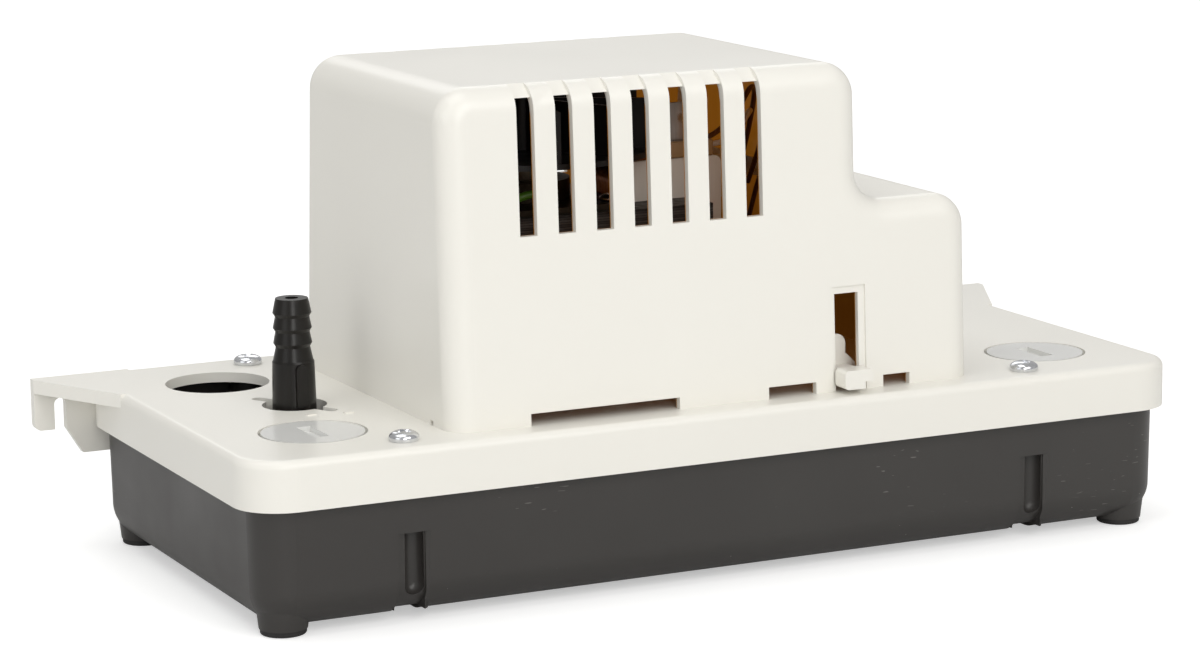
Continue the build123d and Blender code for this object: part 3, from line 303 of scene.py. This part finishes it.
def makeIvory(name, settings, inside=None):
    finish = Finish(name)
    cloud = finish.noise(9.0, 2.0)
    colour = finish.mix(finish.spread(cloud, 0.2, 0.8), settings["colour"], settings["shade"])
    marks = finish.specks(48.0, settings["markSize"])
    colour = finish.mix(finish.maths("MULTIPLY", marks, settings["markShow"]), colour, settings["mark"])
    if inside is not None:
        colour = inside(finish, colour)
    rough = finish.spread(finish.noise(30.0, 2.0), 0.1, 0.9, *settings["roughness"])
    finish.bump(finish.noise(900.0, 2.0), settings["grain"], 0.4)
    finish.shader.inputs["IOR"].default_value = settings["ior"]
    return finish.done(colour, rough)


plugPlastic = {
    "colour": (0.765, 0.765, 0.745),
    "shade": (0.72, 0.72, 0.70),
    "roughness": (0.13, 0.22),
    "grain": 0.00001,
    "ior": 1.5,
}


def makePlugPlastic(settings):
    finish = Finish("plugPlastic")
    cloud = finish.spread(finish.noise(70.0), 0.35, 0.7)
    colour = finish.mix(cloud, settings["colour"], settings["shade"])
    finish.bump(finish.noise(1800.0, 2.0), settings["grain"], 0.5)
    finish.shader.inputs["IOR"].default_value = settings["ior"]
    return finish.done(colour, finish.spread(finish.noise(140.0), 0.3, 0.7, *settings["roughness"]))


charcoal = {
    "colour": (0.034, 0.031, 0.0285),
    "cloudy": (0.041, 0.038, 0.035),
    "dust": (0.42, 0.40, 0.37),
    "dustShow": 0.75,
    "fineDust": (360.0, 0.075),      # how close, and size over the spacing
    "coarseDust": (140.0, 0.036),
    "scratchShow": 0.22,
    "roughness": (0.34, 0.44),
    "grain": 0.000012,
    "wave": 0.00003,
    "ior": 1.5,
}


def makeCharcoal(settings):
    # moulded tank: soft clouding, fine dust and a few hairline scratches
    finish = Finish("tankPlastic")
    cloud = finish.noise(11.0, 3.0)
    colour = finish.mix(finish.spread(cloud, 0.42, 0.72), settings["colour"], settings["cloudy"])
    patches = finish.spread(finish.noise(26.0, 2.0), 0.46, 0.55)
    fine = finish.maths("MULTIPLY", finish.specks(*settings["fineDust"]), patches)
    areas = finish.spread(finish.noise(15.0), 0.46, 0.54)
    coarse = finish.maths("MULTIPLY", finish.specks(*settings["coarseDust"]), areas)
    dust = finish.maths("MAXIMUM", fine, coarse)
    colour = finish.mix(finish.maths("MULTIPLY", dust, settings["dustShow"]), colour, settings["dust"])
    lines = finish.noise(1.0, 0.0, 0.5, finish.place((300, 30, 1900), (0.0, 1.1, 0.0)))
    breaks = finish.spread(finish.noise(23.0, 1.0), 0.62, 0.65)
    scratch = finish.maths("MULTIPLY", finish.spread(lines, 0.77, 0.79), breaks)
    scratch = finish.maths("MULTIPLY", scratch, settings["scratchShow"])
    colour = finish.mix(scratch, colour, settings["dust"])
    rough = finish.spread(finish.noise(30.0, 3.0), 0.3, 0.7, *settings["roughness"])
    finish.bump(finish.noise(1500.0, 3.0), settings["grain"], 0.5)
    finish.bump(finish.noise(1.0, 2.0, 0.5, finish.place((60, 60, 9))), settings["wave"], 0.2)
    finish.shader.inputs["IOR"].default_value = settings["ior"]
    return finish.done(colour, rough)


def makeDarkPlastic(name, colour, shade, roughness, specular=0.5):
    finish = Finish(name)
    finish.shader.inputs["Specular IOR Level"].default_value = specular
    tone = finish.mix(finish.spread(finish.noise(50.0), 0.35, 0.7), colour, shade)
    finish.bump(finish.noise(900.0, 2.0), 0.00001, 0.5)
    finish.shader.inputs["IOR"].default_value = 1.5
    return finish.done(tone, finish.spread(finish.noise(160.0), 0.3, 0.7, *roughness))


def makeMetal(name, colour, shade, roughness, brushed=(1, 1, 1), grain=120.0):
    finish = Finish(name, metallic=1.0)
    lines = finish.noise(grain, 4.0, 0.6, finish.place(brushed))
    tone = finish.mix(finish.spread(lines, 0.35, 0.7), colour, shade)
    finish.bump(lines, 0.000015, 0.4)
    return finish.done(tone, finish.spread(lines, 0.3, 0.7, *roughness))


def makeRubber(name, colour, shade):
    finish = Finish(name)
    tone = finish.mix(finish.spread(finish.noise(220.0), 0.4, 0.65), colour, shade)
    finish.bump(finish.noise(1400.0, 3.0), 0.00003, 0.6)
    return finish.done(tone, finish.spread(finish.noise(300.0), 0.3, 0.7, 0.55, 0.75))


laminations = {
    "sheet": 0.65 * mm,
    "colour": (0.115, 0.112, 0.108),
    "shade": (0.045, 0.043, 0.042),
    "rust": (0.11, 0.06, 0.035),
    "gap": (0.01, 0.01, 0.01),
    "gapWidth": 0.16,        # over the sheet's thickness
    "gapDepth": 0.00012,
}


def makeLaminations(settings):
    # stamped sheets: each has its own tone, with a dark line between
    finish = Finish("laminationSteel", metallic=0.75)
    height = finish.maths("DIVIDE", finish.separate(finish.coords)[2], settings["sheet"])
    sheet = finish.tree.nodes.new("ShaderNodeTexWhiteNoise")
    sheet.noise_dimensions = "1D"
    finish.link(finish.maths("FLOOR", height), sheet.inputs["W"])
    tone = finish.mix(sheet.outputs["Value"], settings["colour"], settings["shade"])
    rust = finish.spread(finish.noise(160.0, 4.0), 0.55, 0.75, 0.0, 0.5)
    tone = finish.mix(rust, tone, settings["rust"])
    edge = finish.maths("PINGPONG", height, 0.5)
    line = finish.spread(edge, 0.0, settings["gapWidth"])
    tone = finish.mix(line, settings["gap"], tone)
    finish.bump(line, settings["gapDepth"], 0.8)
    return finish.done(tone, finish.spread(finish.noise(400.0), 0.3, 0.7, 0.38, 0.6))


copper = {
    "colour": (0.46, 0.17, 0.055),
    "shade": (0.30, 0.095, 0.030),
    "coat": 0.4,
    "coatRoughness": 0.15,
}


def makeCopper(settings):
    finish = Finish("enamelledCopper", metallic=0.9)
    cloud = finish.spread(finish.noise(180.0, 2.0), 0.35, 0.7)
    tone = finish.mix(cloud, settings["colour"], settings["shade"])
    finish.shader.inputs["Coat Weight"].default_value = settings["coat"]
    finish.shader.inputs["Coat Roughness"].default_value = settings["coatRoughness"]
    finish.bump(finish.noise(900.0), 0.00001, 0.4)
    return finish.done(tone, finish.spread(finish.noise(300.0), 0.3, 0.7, 0.25, 0.4))


foam = {
    "colour": (0.05, 0.05, 0.05),
    "shade": (0.10, 0.10, 0.10),
    "cells": 900.0,
    "depth": 0.00012,
}


def makeFoam(settings):
    finish = Finish("floatFoam")
    cells = finish.tree.nodes.new("ShaderNodeTexVoronoi")
    cells.inputs["Scale"].default_value = settings["cells"]
    finish.link(finish.coords, cells.inputs["Vector"])
    cloud = finish.spread(cells.outputs["Distance"], 0.0, 0.6)
    tone = finish.mix(cloud, settings["colour"], settings["shade"])
    finish.bump(cells.outputs["Distance"], settings["depth"], 0.7)
    return finish.done(tone, finish.spread(finish.noise(200.0), 0.3, 0.7, 0.7, 0.85))


coverInside = {
    # outer faces of the cover; the painted amber shade and glow start a skin's depth inside them
    "left": -79.2 * mm, "right": 76.0 * mm, "front": -57.5 * mm, "back": 49.4 * mm,
    "foot": 47.0 * mm, "top": 135.1 * mm, "step": 42.6 * mm, "shoulder": 97.4 * mm,
    "frontDraft": math.tan(math.radians(2.3)), "backDraft": math.tan(math.radians(4.7)),
    "round": 9.0 * mm, "skin": 2.0 * mm, "ceiling": 131.3 * mm,
    # painted light: amber colour and emission glow for the inner walls, standing in for light through
    # the plastic
    "colour": (0.36, 0.17, 0.03), "glow": (1.0, 0.36, 0.025), "strength": 0.115,
    "dim": 62.0 * mm, "bright": 108.0 * mm, "dimShare": 0.22,
}


def depthInBox(finish, x, y, z, right, top):
    # distance out of a round-edged box with drafted front and back, below zero inside
    s = coverInside
    rise = finish.maths("SUBTRACT", z, s["foot"])
    front = finish.maths("MULTIPLY_ADD", rise, s["frontDraft"], s["front"] + s["round"])
    back = finish.maths("MULTIPLY_ADD", rise, -s["backDraft"], s["back"] - s["round"])
    outX = finish.maths("MAXIMUM", finish.maths("SUBTRACT", s["left"] + s["round"], x),
                        finish.maths("SUBTRACT", x, right - s["round"]))
    outY = finish.maths("MAXIMUM", finish.maths("SUBTRACT", front, y), finish.maths("SUBTRACT", y, back))
    outZ = finish.maths("SUBTRACT", z, top - s["round"])
    corner = 0.0
    for out in (outX, outY, outZ):
        beyond = finish.maths("MAXIMUM", out, 0.0)
        corner = finish.maths("MULTIPLY_ADD", beyond, beyond, corner)
    nearest = finish.maths("MAXIMUM", finish.maths("MAXIMUM", outX, outY), outZ)
    within = finish.maths("MINIMUM", nearest, 0.0)
    distance = finish.maths("ADD", finish.maths("SQRT", corner), within)
    return finish.maths("SUBTRACT", distance, s["round"])


def paintGlowInside(finish, colour):
    # painted light: inside the cover the walls get a painted amber shade and an amber emission glow,
    # brighter towards the top, standing in for lamp light coming through the walls
    s = coverInside
    x, y, z = finish.separate(finish.coords)[:3]
    tall = depthInBox(finish, x, y, z, s["step"], s["top"])
    low = depthInBox(finish, x, y, z, s["right"], s["shoulder"])
    depth = finish.maths("MINIMUM", tall, low)
    mask = finish.maths("LESS_THAN", depth, -s["skin"])
    mask = finish.maths("MULTIPLY", mask, finish.maths("LESS_THAN", z, s["ceiling"]))
    glow = finish.spread(z, s["dim"], s["bright"], s["dimShare"] * s["strength"], s["strength"])
    # painted glow: the inner walls emit amber light though they are no lamp
    finish.shader.inputs["Emission Color"].default_value = (*s["glow"], 1)
    finish.link(finish.maths("MULTIPLY", mask, glow), finish.shader.inputs["Emission Strength"])
    return finish.mix(mask, colour, s["colour"])


def tinted(colour, shade):
    return dict(ivory, colour=colour, shade=shade)


finishes = {
    # the cover's inner walls carry a painted amber shade and glow
    "cover": makeIvory("coverIvory", ivory, paintGlowInside),
    "ivory": makeIvory("lidIvory", ivory),
    "plug": makePlugPlastic(plugPlastic),
    "tank": makeCharcoal(charcoal),
    "barb": makeDarkPlastic("barbBlack", (0.0065, 0.0055, 0.0045), (0.010, 0.0085, 0.007),
                            (0.285, 0.35), specular=0.3),
    "black": makeDarkPlastic("fanBlack", (0.007, 0.007, 0.007), (0.012, 0.012, 0.012),
                             (0.35, 0.5), specular=0.3),
    "grey": makeDarkPlastic("switchGrey", (0.10, 0.10, 0.105), (0.13, 0.13, 0.135), (0.4, 0.55)),
    "rubber": makeRubber("footRubber", (0.013, 0.012, 0.012), (0.024, 0.023, 0.022)),
    "zinc": makeMetal("zincPlate", (0.80, 0.81, 0.83), (0.62, 0.63, 0.66), (0.12, 0.26), grain=500.0),
    "steel": makeMetal("sheetSteel", (0.46, 0.45, 0.43), (0.30, 0.29, 0.28), (0.28, 0.45),
                       brushed=(1, 1, 0.06), grain=420.0),
    "varnished": makeMetal("varnishedSteel", (0.075, 0.062, 0.045), (0.030, 0.025, 0.018), (0.30, 0.5)),
    "white": makeIvory("whiteNylon", tinted((0.86, 0.83, 0.76), (0.74, 0.70, 0.62))),
    "tan": makeIvory("tanFibre", tinted((0.42, 0.26, 0.12), (0.34, 0.20, 0.09))),
    "beige": makeIvory("beigeSleeve", tinted((0.55, 0.42, 0.25), (0.45, 0.33, 0.19))),
    "green": makeDarkPlastic("earthGreen", (0.06, 0.17, 0.012), (0.10, 0.24, 0.02), (0.3, 0.45)),
    "brown": makeDarkPlastic("wireBrown", (0.085, 0.026, 0.010), (0.12, 0.04, 0.016), (0.30, 0.4)),
    "shaft": makeMetal("groundSteel", (0.62, 0.62, 0.62), (0.48, 0.48, 0.48), (0.18, 0.3),
                       brushed=(0.2, 0.2, 6), grain=300.0),
    "bronze": makeMetal("oiledBronze", (0.45, 0.27, 0.11), (0.33, 0.19, 0.08), (0.3, 0.5)),
    "laminations": makeLaminations(laminations),
    "copper": makeCopper(copper),
    "valve": makeIvory("valveWhite", tinted((0.80, 0.80, 0.77), (0.74, 0.74, 0.71))),
    "foam": makeFoam(foam),
}

nodeFinish = {
    "tank": "tank", "rubber_feet": "rubber", "lid_gasket": "rubber", "tank_lid": "ivory",
    "motor_cover": "cover", "lid_screws": "zinc", "motor_screws": "zinc", "volute_screws": "zinc",
    "cover_screws": "zinc", "inlet_plug_front_left": "plug", "inlet_plug_front_right": "plug",
    "inlet_plug_back_right": "plug", "discharge_fitting": "barb", "fitting_o_ring": "rubber",
    "valve_seat": "valve", "check_ball": "shaft", "volute_body": "black", "volute_plate": "black",
    "impeller": "valve", "motor_shaft": "shaft", "shaft_slinger": "rubber", "rotor": "laminations",
    "stator_core": "laminations", "coil_bobbin": "white", "coil_winding": "copper",
    "upper_bearing_bracket": "varnished", "lower_bearing_bracket": "varnished",
    "upper_bearing": "bronze", "lower_bearing": "bronze", "cooling_fan": "black", "float": "foam", "test_lever": "ivory",
    "pivot_pin": "shaft", "switch_bracket": "steel", "run_switch": "grey", "run_switch_plunger": "black",
    "safety_switch": "grey", "safety_switch_plunger": "black", "switch_screws": "zinc",
    "cord_gland": "black",
}

for nodeName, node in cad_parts.items():
    node.data.materials.clear()
    node.data.materials.append(finishes[nodeFinish[nodeName]])
print("finishes made:", len(finishes))


# Helpers for pieces, then the screws.

def newPiece(name, bm, finish, body, slotName, *replaced):
    mesh = bpy.data.meshes.new(name)
    bm.normal_update()
    bm.to_mesh(mesh)
    bm.free()
    mesh.materials.append(finishes[finish])
    piece = bpy.data.objects.new(name, mesh)
    bpy.context.collection.objects.link(piece)
    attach(piece, body)
    if replaced:
        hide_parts(*replaced)
    return piece


def spinProfile(bm, points, segments):
    # turns (radius, height) points round Z and closes the poles
    verts = [bm.verts.new((r, 0, z)) for r, z in points]
    edges = [bm.edges.new(pair) for pair in zip(verts, verts[1:])]
    bmesh.ops.spin(bm, geom=verts + edges, cent=(0, 0, 0), axis=(0, 0, 1), angle=2 * math.pi,
                   steps=segments, use_merge=True)
    bmesh.ops.remove_doubles(bm, verts=bm.verts[:], dist=1e-6)
    bmesh.ops.recalc_face_normals(bm, faces=bm.faces[:])


def smooth(piece, angle=35.0):
    for face in piece.data.polygons:
        face.use_smooth = True
    piece.data.set_sharp_from_angle(angle=math.radians(angle))


def cutWith(mesh, cutters):
    # takes cutter meshes out of a mesh and returns the new mesh
    work = bpy.data.objects.new("work", mesh)
    bpy.context.collection.objects.link(work)
    tools = []
    for cutter in cutters:
        tool = bpy.data.objects.new("cutter", cutter)
        bpy.context.collection.objects.link(tool)
        cut = work.modifiers.new("cut", "BOOLEAN")
        cut.operation = "DIFFERENCE"
        cut.solver = "EXACT"
        cut.object = tool
        tools.append(tool)
    shown = work.evaluated_get(bpy.context.evaluated_depsgraph_get())
    result = bpy.data.meshes.new_from_object(shown)
    for item in [work, *tools]:
        bpy.data.objects.remove(item)
    return result


def solidBoxes(node):
    # lowest and highest corners of each solid in a node
    bm = bmesh.new()
    bm.from_mesh(node.data)
    bmesh.ops.remove_doubles(bm, verts=bm.verts[:], dist=1e-6)
    left = set(bm.verts)
    boxes = []
    while left:
        group = [left.pop()]
        low, high = group[0].co.copy(), group[0].co.copy()
        while group:
            vert = group.pop()
            low = Vector(map(min, low, vert.co))
            high = Vector(map(max, high, vert.co))
            for edge in vert.link_edges:
                other = edge.other_vert(vert)
                if other in left:
                    left.remove(other)
                    group.append(other)
        boxes.append((low, high))
    bm.free()
    return sorted(boxes, key=lambda box: tuple(box[0]))


screwShape = {
    "recess": 0.62,          # cross recess reach over the head's radius
    "recessDepth": 0.66,     # over the head's height
    "slot": 0.17,            # width of the cross over the head's radius
    "rim": 0.34,             # height of the head's edge over its whole height
    "crown": 0.30,           # flat on top over the head's radius
    "pitch": 1.4 * mm,
    "threadDepth": 0.16,     # over the shank's radius
    "runOut": 0.8 * mm,      # plain shank under the head
    "point": 2.4 * mm,       # plain end
    "domeSteps": 9,
    "segments": 40,
}


def screwMesh(headRadius, headHeight, shankRadius, length):
    # pan head up from z 0 with a cross recess, threaded shank down to -length
    s = screwShape
    points = [(0, headHeight)]
    for step in range(s["domeSteps"] + 1):
        turn = step / s["domeSteps"] * math.pi / 2
        points.append((headRadius * (s["crown"] + (1 - s["crown"]) * math.sin(turn)),
                       headHeight * (s["rim"] + (1 - s["rim"]) * math.cos(turn))))
    points += [(headRadius * 0.985, headHeight * 0.12), (headRadius * 0.93, 0), (shankRadius, 0)]
    root = shankRadius * (1 - s["threadDepth"])
    point = -s["runOut"]
    while point > -length + s["point"]:
        points += [(shankRadius, point), (root, point - 0.35 * s["pitch"]),
                   (root, point - 0.6 * s["pitch"])]
        point -= s["pitch"]
    points += [(shankRadius * 0.8, point), (0, -length)]
    bm = bmesh.new()
    spinProfile(bm, points, s["segments"])
    body = bpy.data.meshes.new("screwBody")
    bm.to_mesh(body)
    bm.free()
    cutters = []
    for turn in (0, 90):
        bm = bmesh.new()
        bmesh.ops.create_cube(bm, size=1.0)
        for vert in bm.verts:
            up = vert.co.z > 0
            reach = headRadius * s["recess"] * (2.2 if up else 0.8)
            wide = headRadius * s["slot"] * (2.4 if up else 1.3)
            vert.co.x *= reach
            vert.co.y *= wide
            vert.co.z = headHeight * (1.2 if up else 1 - s["recessDepth"])
        bmesh.ops.rotate(bm, verts=bm.verts[:], cent=(0, 0, 0),
                         matrix=Matrix.Rotation(math.radians(turn), 3, "Z"))
        cutter = bpy.data.meshes.new("crossArm")
        bm.to_mesh(cutter)
        bm.free()
        cutters.append(cutter)
    return cutWith(body, cutters)


screwSets = {
    # node: head direction, head height, shank radius, turns of the cross in degrees, share of the
    # height kept
    "lid_screws": ((0, 0, 1), 3.0 * mm, 2.1 * mm, (18, 63, -12, 40), 0.86),
    "motor_screws": ((0, 0, 1), 2.0 * mm, 1.9 * mm, (10, 55, 30, -20)),
    "volute_screws": ((0, 0, -1), 2.0 * mm, 1.6 * mm, (5, 40, 70)),
    "cover_screws": ((0, 1, 0), 2.0 * mm, 1.6 * mm, (25, 60)),
    "switch_screws": ((1, 0, 0), 2.0 * mm, 1.6 * mm, (12, 48)),
}


def makeScrews(nodeName, headWay, headHeight, shankRadius, turns, flat=1.0):
    way = Vector(headWay)
    face = way.to_track_quat("Z", "Y").to_matrix().to_4x4()
    bm = bmesh.new()
    for (low, high), turn in zip(solidBoxes(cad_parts[nodeName]), turns):
        size = high - low
        length = abs(size.dot(way)) - headHeight
        sides = [abs(size[i]) for i in range(3) if not way[i]]
        middle = (low + high) / 2
        seat = middle + way * (abs(size.dot(way)) / 2 - headHeight)
        mesh = screwMesh(min(sides) / 2, headHeight * flat, shankRadius, length)
        mesh.transform(Matrix.Translation(seat) @ face @ Matrix.Rotation(math.radians(turn), 4, "Z"))
        bm.from_mesh(mesh)
        bpy.data.meshes.remove(mesh)
    piece = newPiece(nodeName + "_detail", bm, "zinc", "housing", "zinc_screw", nodeName)
    smooth(piece)


for screwNode, screwSpec in screwSets.items():
    makeScrews(screwNode, *screwSpec)
print("screws made")


# What shows inside the cover through its vents.

def boxMesh(bm, low, high, round, segments=3):
    # a block between two corners in millimetres, its edges rounded
    made = bmesh.ops.create_cube(bm, size=1.0)["verts"]
    low, high = Vector(low) * mm, Vector(high) * mm
    size = high - low
    for vert in made:
        vert.co = Vector((vert.co.x * size.x, vert.co.y * size.y, vert.co.z * size.z)) + (low + high) / 2
    edges = list({edge for vert in made for edge in vert.link_edges})
    bmesh.ops.bevel(bm, geom=edges, offset=round * mm, segments=segments, profile=0.5, affect="EDGES",
                    material=-1)


def wireMesh(bm, points, radius, sides=10, steps=10):
    # a round wire through points in millimetres
    line = [Vector(point) * mm for point in points]
    ends = [2 * line[0] - line[1], *line, 2 * line[-1] - line[-2]]
    path = []
    for a, b, c, d in zip(ends, ends[1:], ends[2:], ends[3:]):
        for step in range(steps):
            t = step / steps
            path.append(0.5 * (2 * b + (c - a) * t + (2 * a - 5 * b + 4 * c - d) * t * t
                               + (3 * b - a - 3 * c + d) * t ** 3))
    path.append(line[-1])
    rings = []
    side = (path[1] - path[0]).orthogonal().normalized()
    for number, place in enumerate(path):
        way = (path[min(number + 1, len(path) - 1)] - path[max(number - 1, 0)]).normalized()
        side = (side - way * side.dot(way)).normalized()
        other = way.cross(side)
        ring = []
        for corner in range(sides):
            turn = 2 * math.pi * corner / sides
            out = side * math.cos(turn) + other * math.sin(turn)
            ring.append(bm.verts.new(place + out * radius * mm))
        rings.append([bm.edges.new(pair) for pair in zip(ring, ring[1:] + ring[:1])])
        if number in (0, len(path) - 1):
            bm.faces.new(ring)
    for here, there in zip(rings, rings[1:]):
        bmesh.ops.bridge_loops(bm, edges=here + there)
    bmesh.ops.recalc_face_normals(bm, faces=bm.faces[:])


coilDress = {
    "turns": 26,
    "sink": 0.35,            # of the wire's radius, into the winding
    "corner": 4.0 * mm,
    "cornerSteps": 3,
    "sides": 8,
}


def makeCoil(settings):
    # the outer layer of enamelled wire, laid side by side round the leg
    low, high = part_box("coil_winding")
    bm = bmesh.new()
    pitch = (high.y - low.y) / settings["turns"]
    middle = (low + high) / 2
    radius = pitch / 2
    corner = settings["corner"]
    sink = radius * settings["sink"]
    half = Vector(((high.x - low.x) / 2 - sink, 0, (high.z - low.z) / 2 - sink))
    for turn in range(settings["turns"]):
        y = low.y + (turn + 0.5) * pitch
        path = []
        for sx, sz, start in ((1, 1, 0), (-1, 1, 90), (-1, -1, 180), (1, -1, 270)):
            for step in range(settings["cornerSteps"] + 1):
                angle = math.radians(start + 90 / settings["cornerSteps"] * step)
                path.append(Vector((middle.x + sx * (half.x - corner) + corner * math.cos(angle), y,
                                    middle.z + sz * (half.z - corner) + corner * math.sin(angle))))
        rings = []
        count = len(path)
        for number, place in enumerate(path):
            way = (path[(number + 1) % count] - path[number - 1]).normalized()
            out = way.cross(Vector((0, 1, 0)))
            ring = []
            for cut in range(settings["sides"]):
                angle = 2 * math.pi * cut / settings["sides"]
                offset = out * math.cos(angle) * radius + Vector((0, 1, 0)) * math.sin(angle) * radius
                ring.append(bm.verts.new(place + offset))
            rings.append([bm.edges.new(pair) for pair in zip(ring, ring[1:] + ring[:1])])
        for here, there in zip(rings, rings[1:] + rings[:1]):
            bmesh.ops.bridge_loops(bm, edges=here + there)
    bmesh.ops.recalc_face_normals(bm, faces=bm.faces[:])
    piece = newPiece("coil_turns", bm, "copper", "housing", "copper")
    smooth(piece, 60)


makeCoil(coilDress)

terminalDress = {
    # lowest corner, highest corner and edge round, all in millimetres
    "block": ((-6.0, -27.2, 109.0), (12.2, -20.5, 113.4), 0.5),
    "plate": ((-3.2, -25.4, 113.0), (11.0, -24.6, 123.9), 0.18, 2),
    "sleeve": ((14.4, -24.5, 96.6), (21.4, -14.0, 107.6), 2.6, 5),
    "hole": (3.6, -25.0, 119.6),
    "holeRadius": 1.3,
    "holeReach": 6,
}


def makeTerminals(settings):
    # tan block on the coil with an upright steel tag, and the sleeve where the leads leave
    bm = bmesh.new()
    boxMesh(bm, *settings["block"])
    smooth(newPiece("terminal_block", bm, "tan", "housing", "bobbin_plastic"))
    bm = bmesh.new()
    boxMesh(bm, *settings["plate"])
    tag = bpy.data.meshes.new("tag")
    bm.to_mesh(tag)
    bm.free()
    radius = settings["holeRadius"] * mm
    turn = Matrix.Translation(Vector(settings["hole"]) * mm) @ Matrix.Rotation(math.pi / 2, 4, "X")
    bm = bmesh.new()
    bmesh.ops.create_cone(bm, cap_ends=True, segments=24, radius1=radius, radius2=radius,
                          depth=settings["holeReach"] * mm, matrix=turn)
    hole = bpy.data.meshes.new("hole")
    bm.to_mesh(hole)
    bm.free()
    bm = bmesh.new()
    bm.from_mesh(cutWith(tag, [hole]))
    smooth(newPiece("terminal_tag", bm, "steel", "housing", "steel"))
    bm = bmesh.new()
    boxMesh(bm, *settings["sleeve"])
    smooth(newPiece("lead_sleeve", bm, "beige", "housing", "bobbin_plastic"), 50)


makeTerminals(terminalDress)

wireRuns = {
    # name: finish, slot, radius and points in millimetres
    "lead_brown": ("brown", "bobbin_plastic", 0.75,
                   ((8, -23, 112), (18, -18, 114), (27, -13, 119), (33, -9, 124), (37, -4, 122),
                    (38.5, 2, 112), (40, 10, 100), (46, 24, 86), (54, 38, 72), (58, 42, 64))),
    "lead_white": ("white", "bobbin_plastic", 0.8,
                   ((4, -22, 112.5), (16, -15, 110), (28, -8, 111), (35.5, -4, 117), (37.5, 4, 112),
                    (39, 16, 98), (47, 30, 82), (56, 40, 68), (60, 42.5, 63))),
    "earth_green": ("green", "bobbin_plastic", 1.1,
                    ((-54, -27, 99.4), (-51, -31, 101.4), (-46, -33.5, 103.4), (-41, -33, 103.2),
                     (-38, -30, 101.6), (-37, -27.5, 99.4))),
    "switch_link": ("brown", "bobbin_plastic", 0.7,
                    ((33, -8, 88), (31, -16, 97), (32, -19, 106), (34, -14, 112), (37, -6, 106),
                     (38, 2, 96))),
}


def makeWires(settings):
    for name, (finish, slotName, radius, points) in settings.items():
        bm = bmesh.new()
        wireMesh(bm, points, radius)
        smooth(newPiece(name, bm, finish, "housing", slotName), 60)


makeWires(wireRuns)
print("inner pieces made")
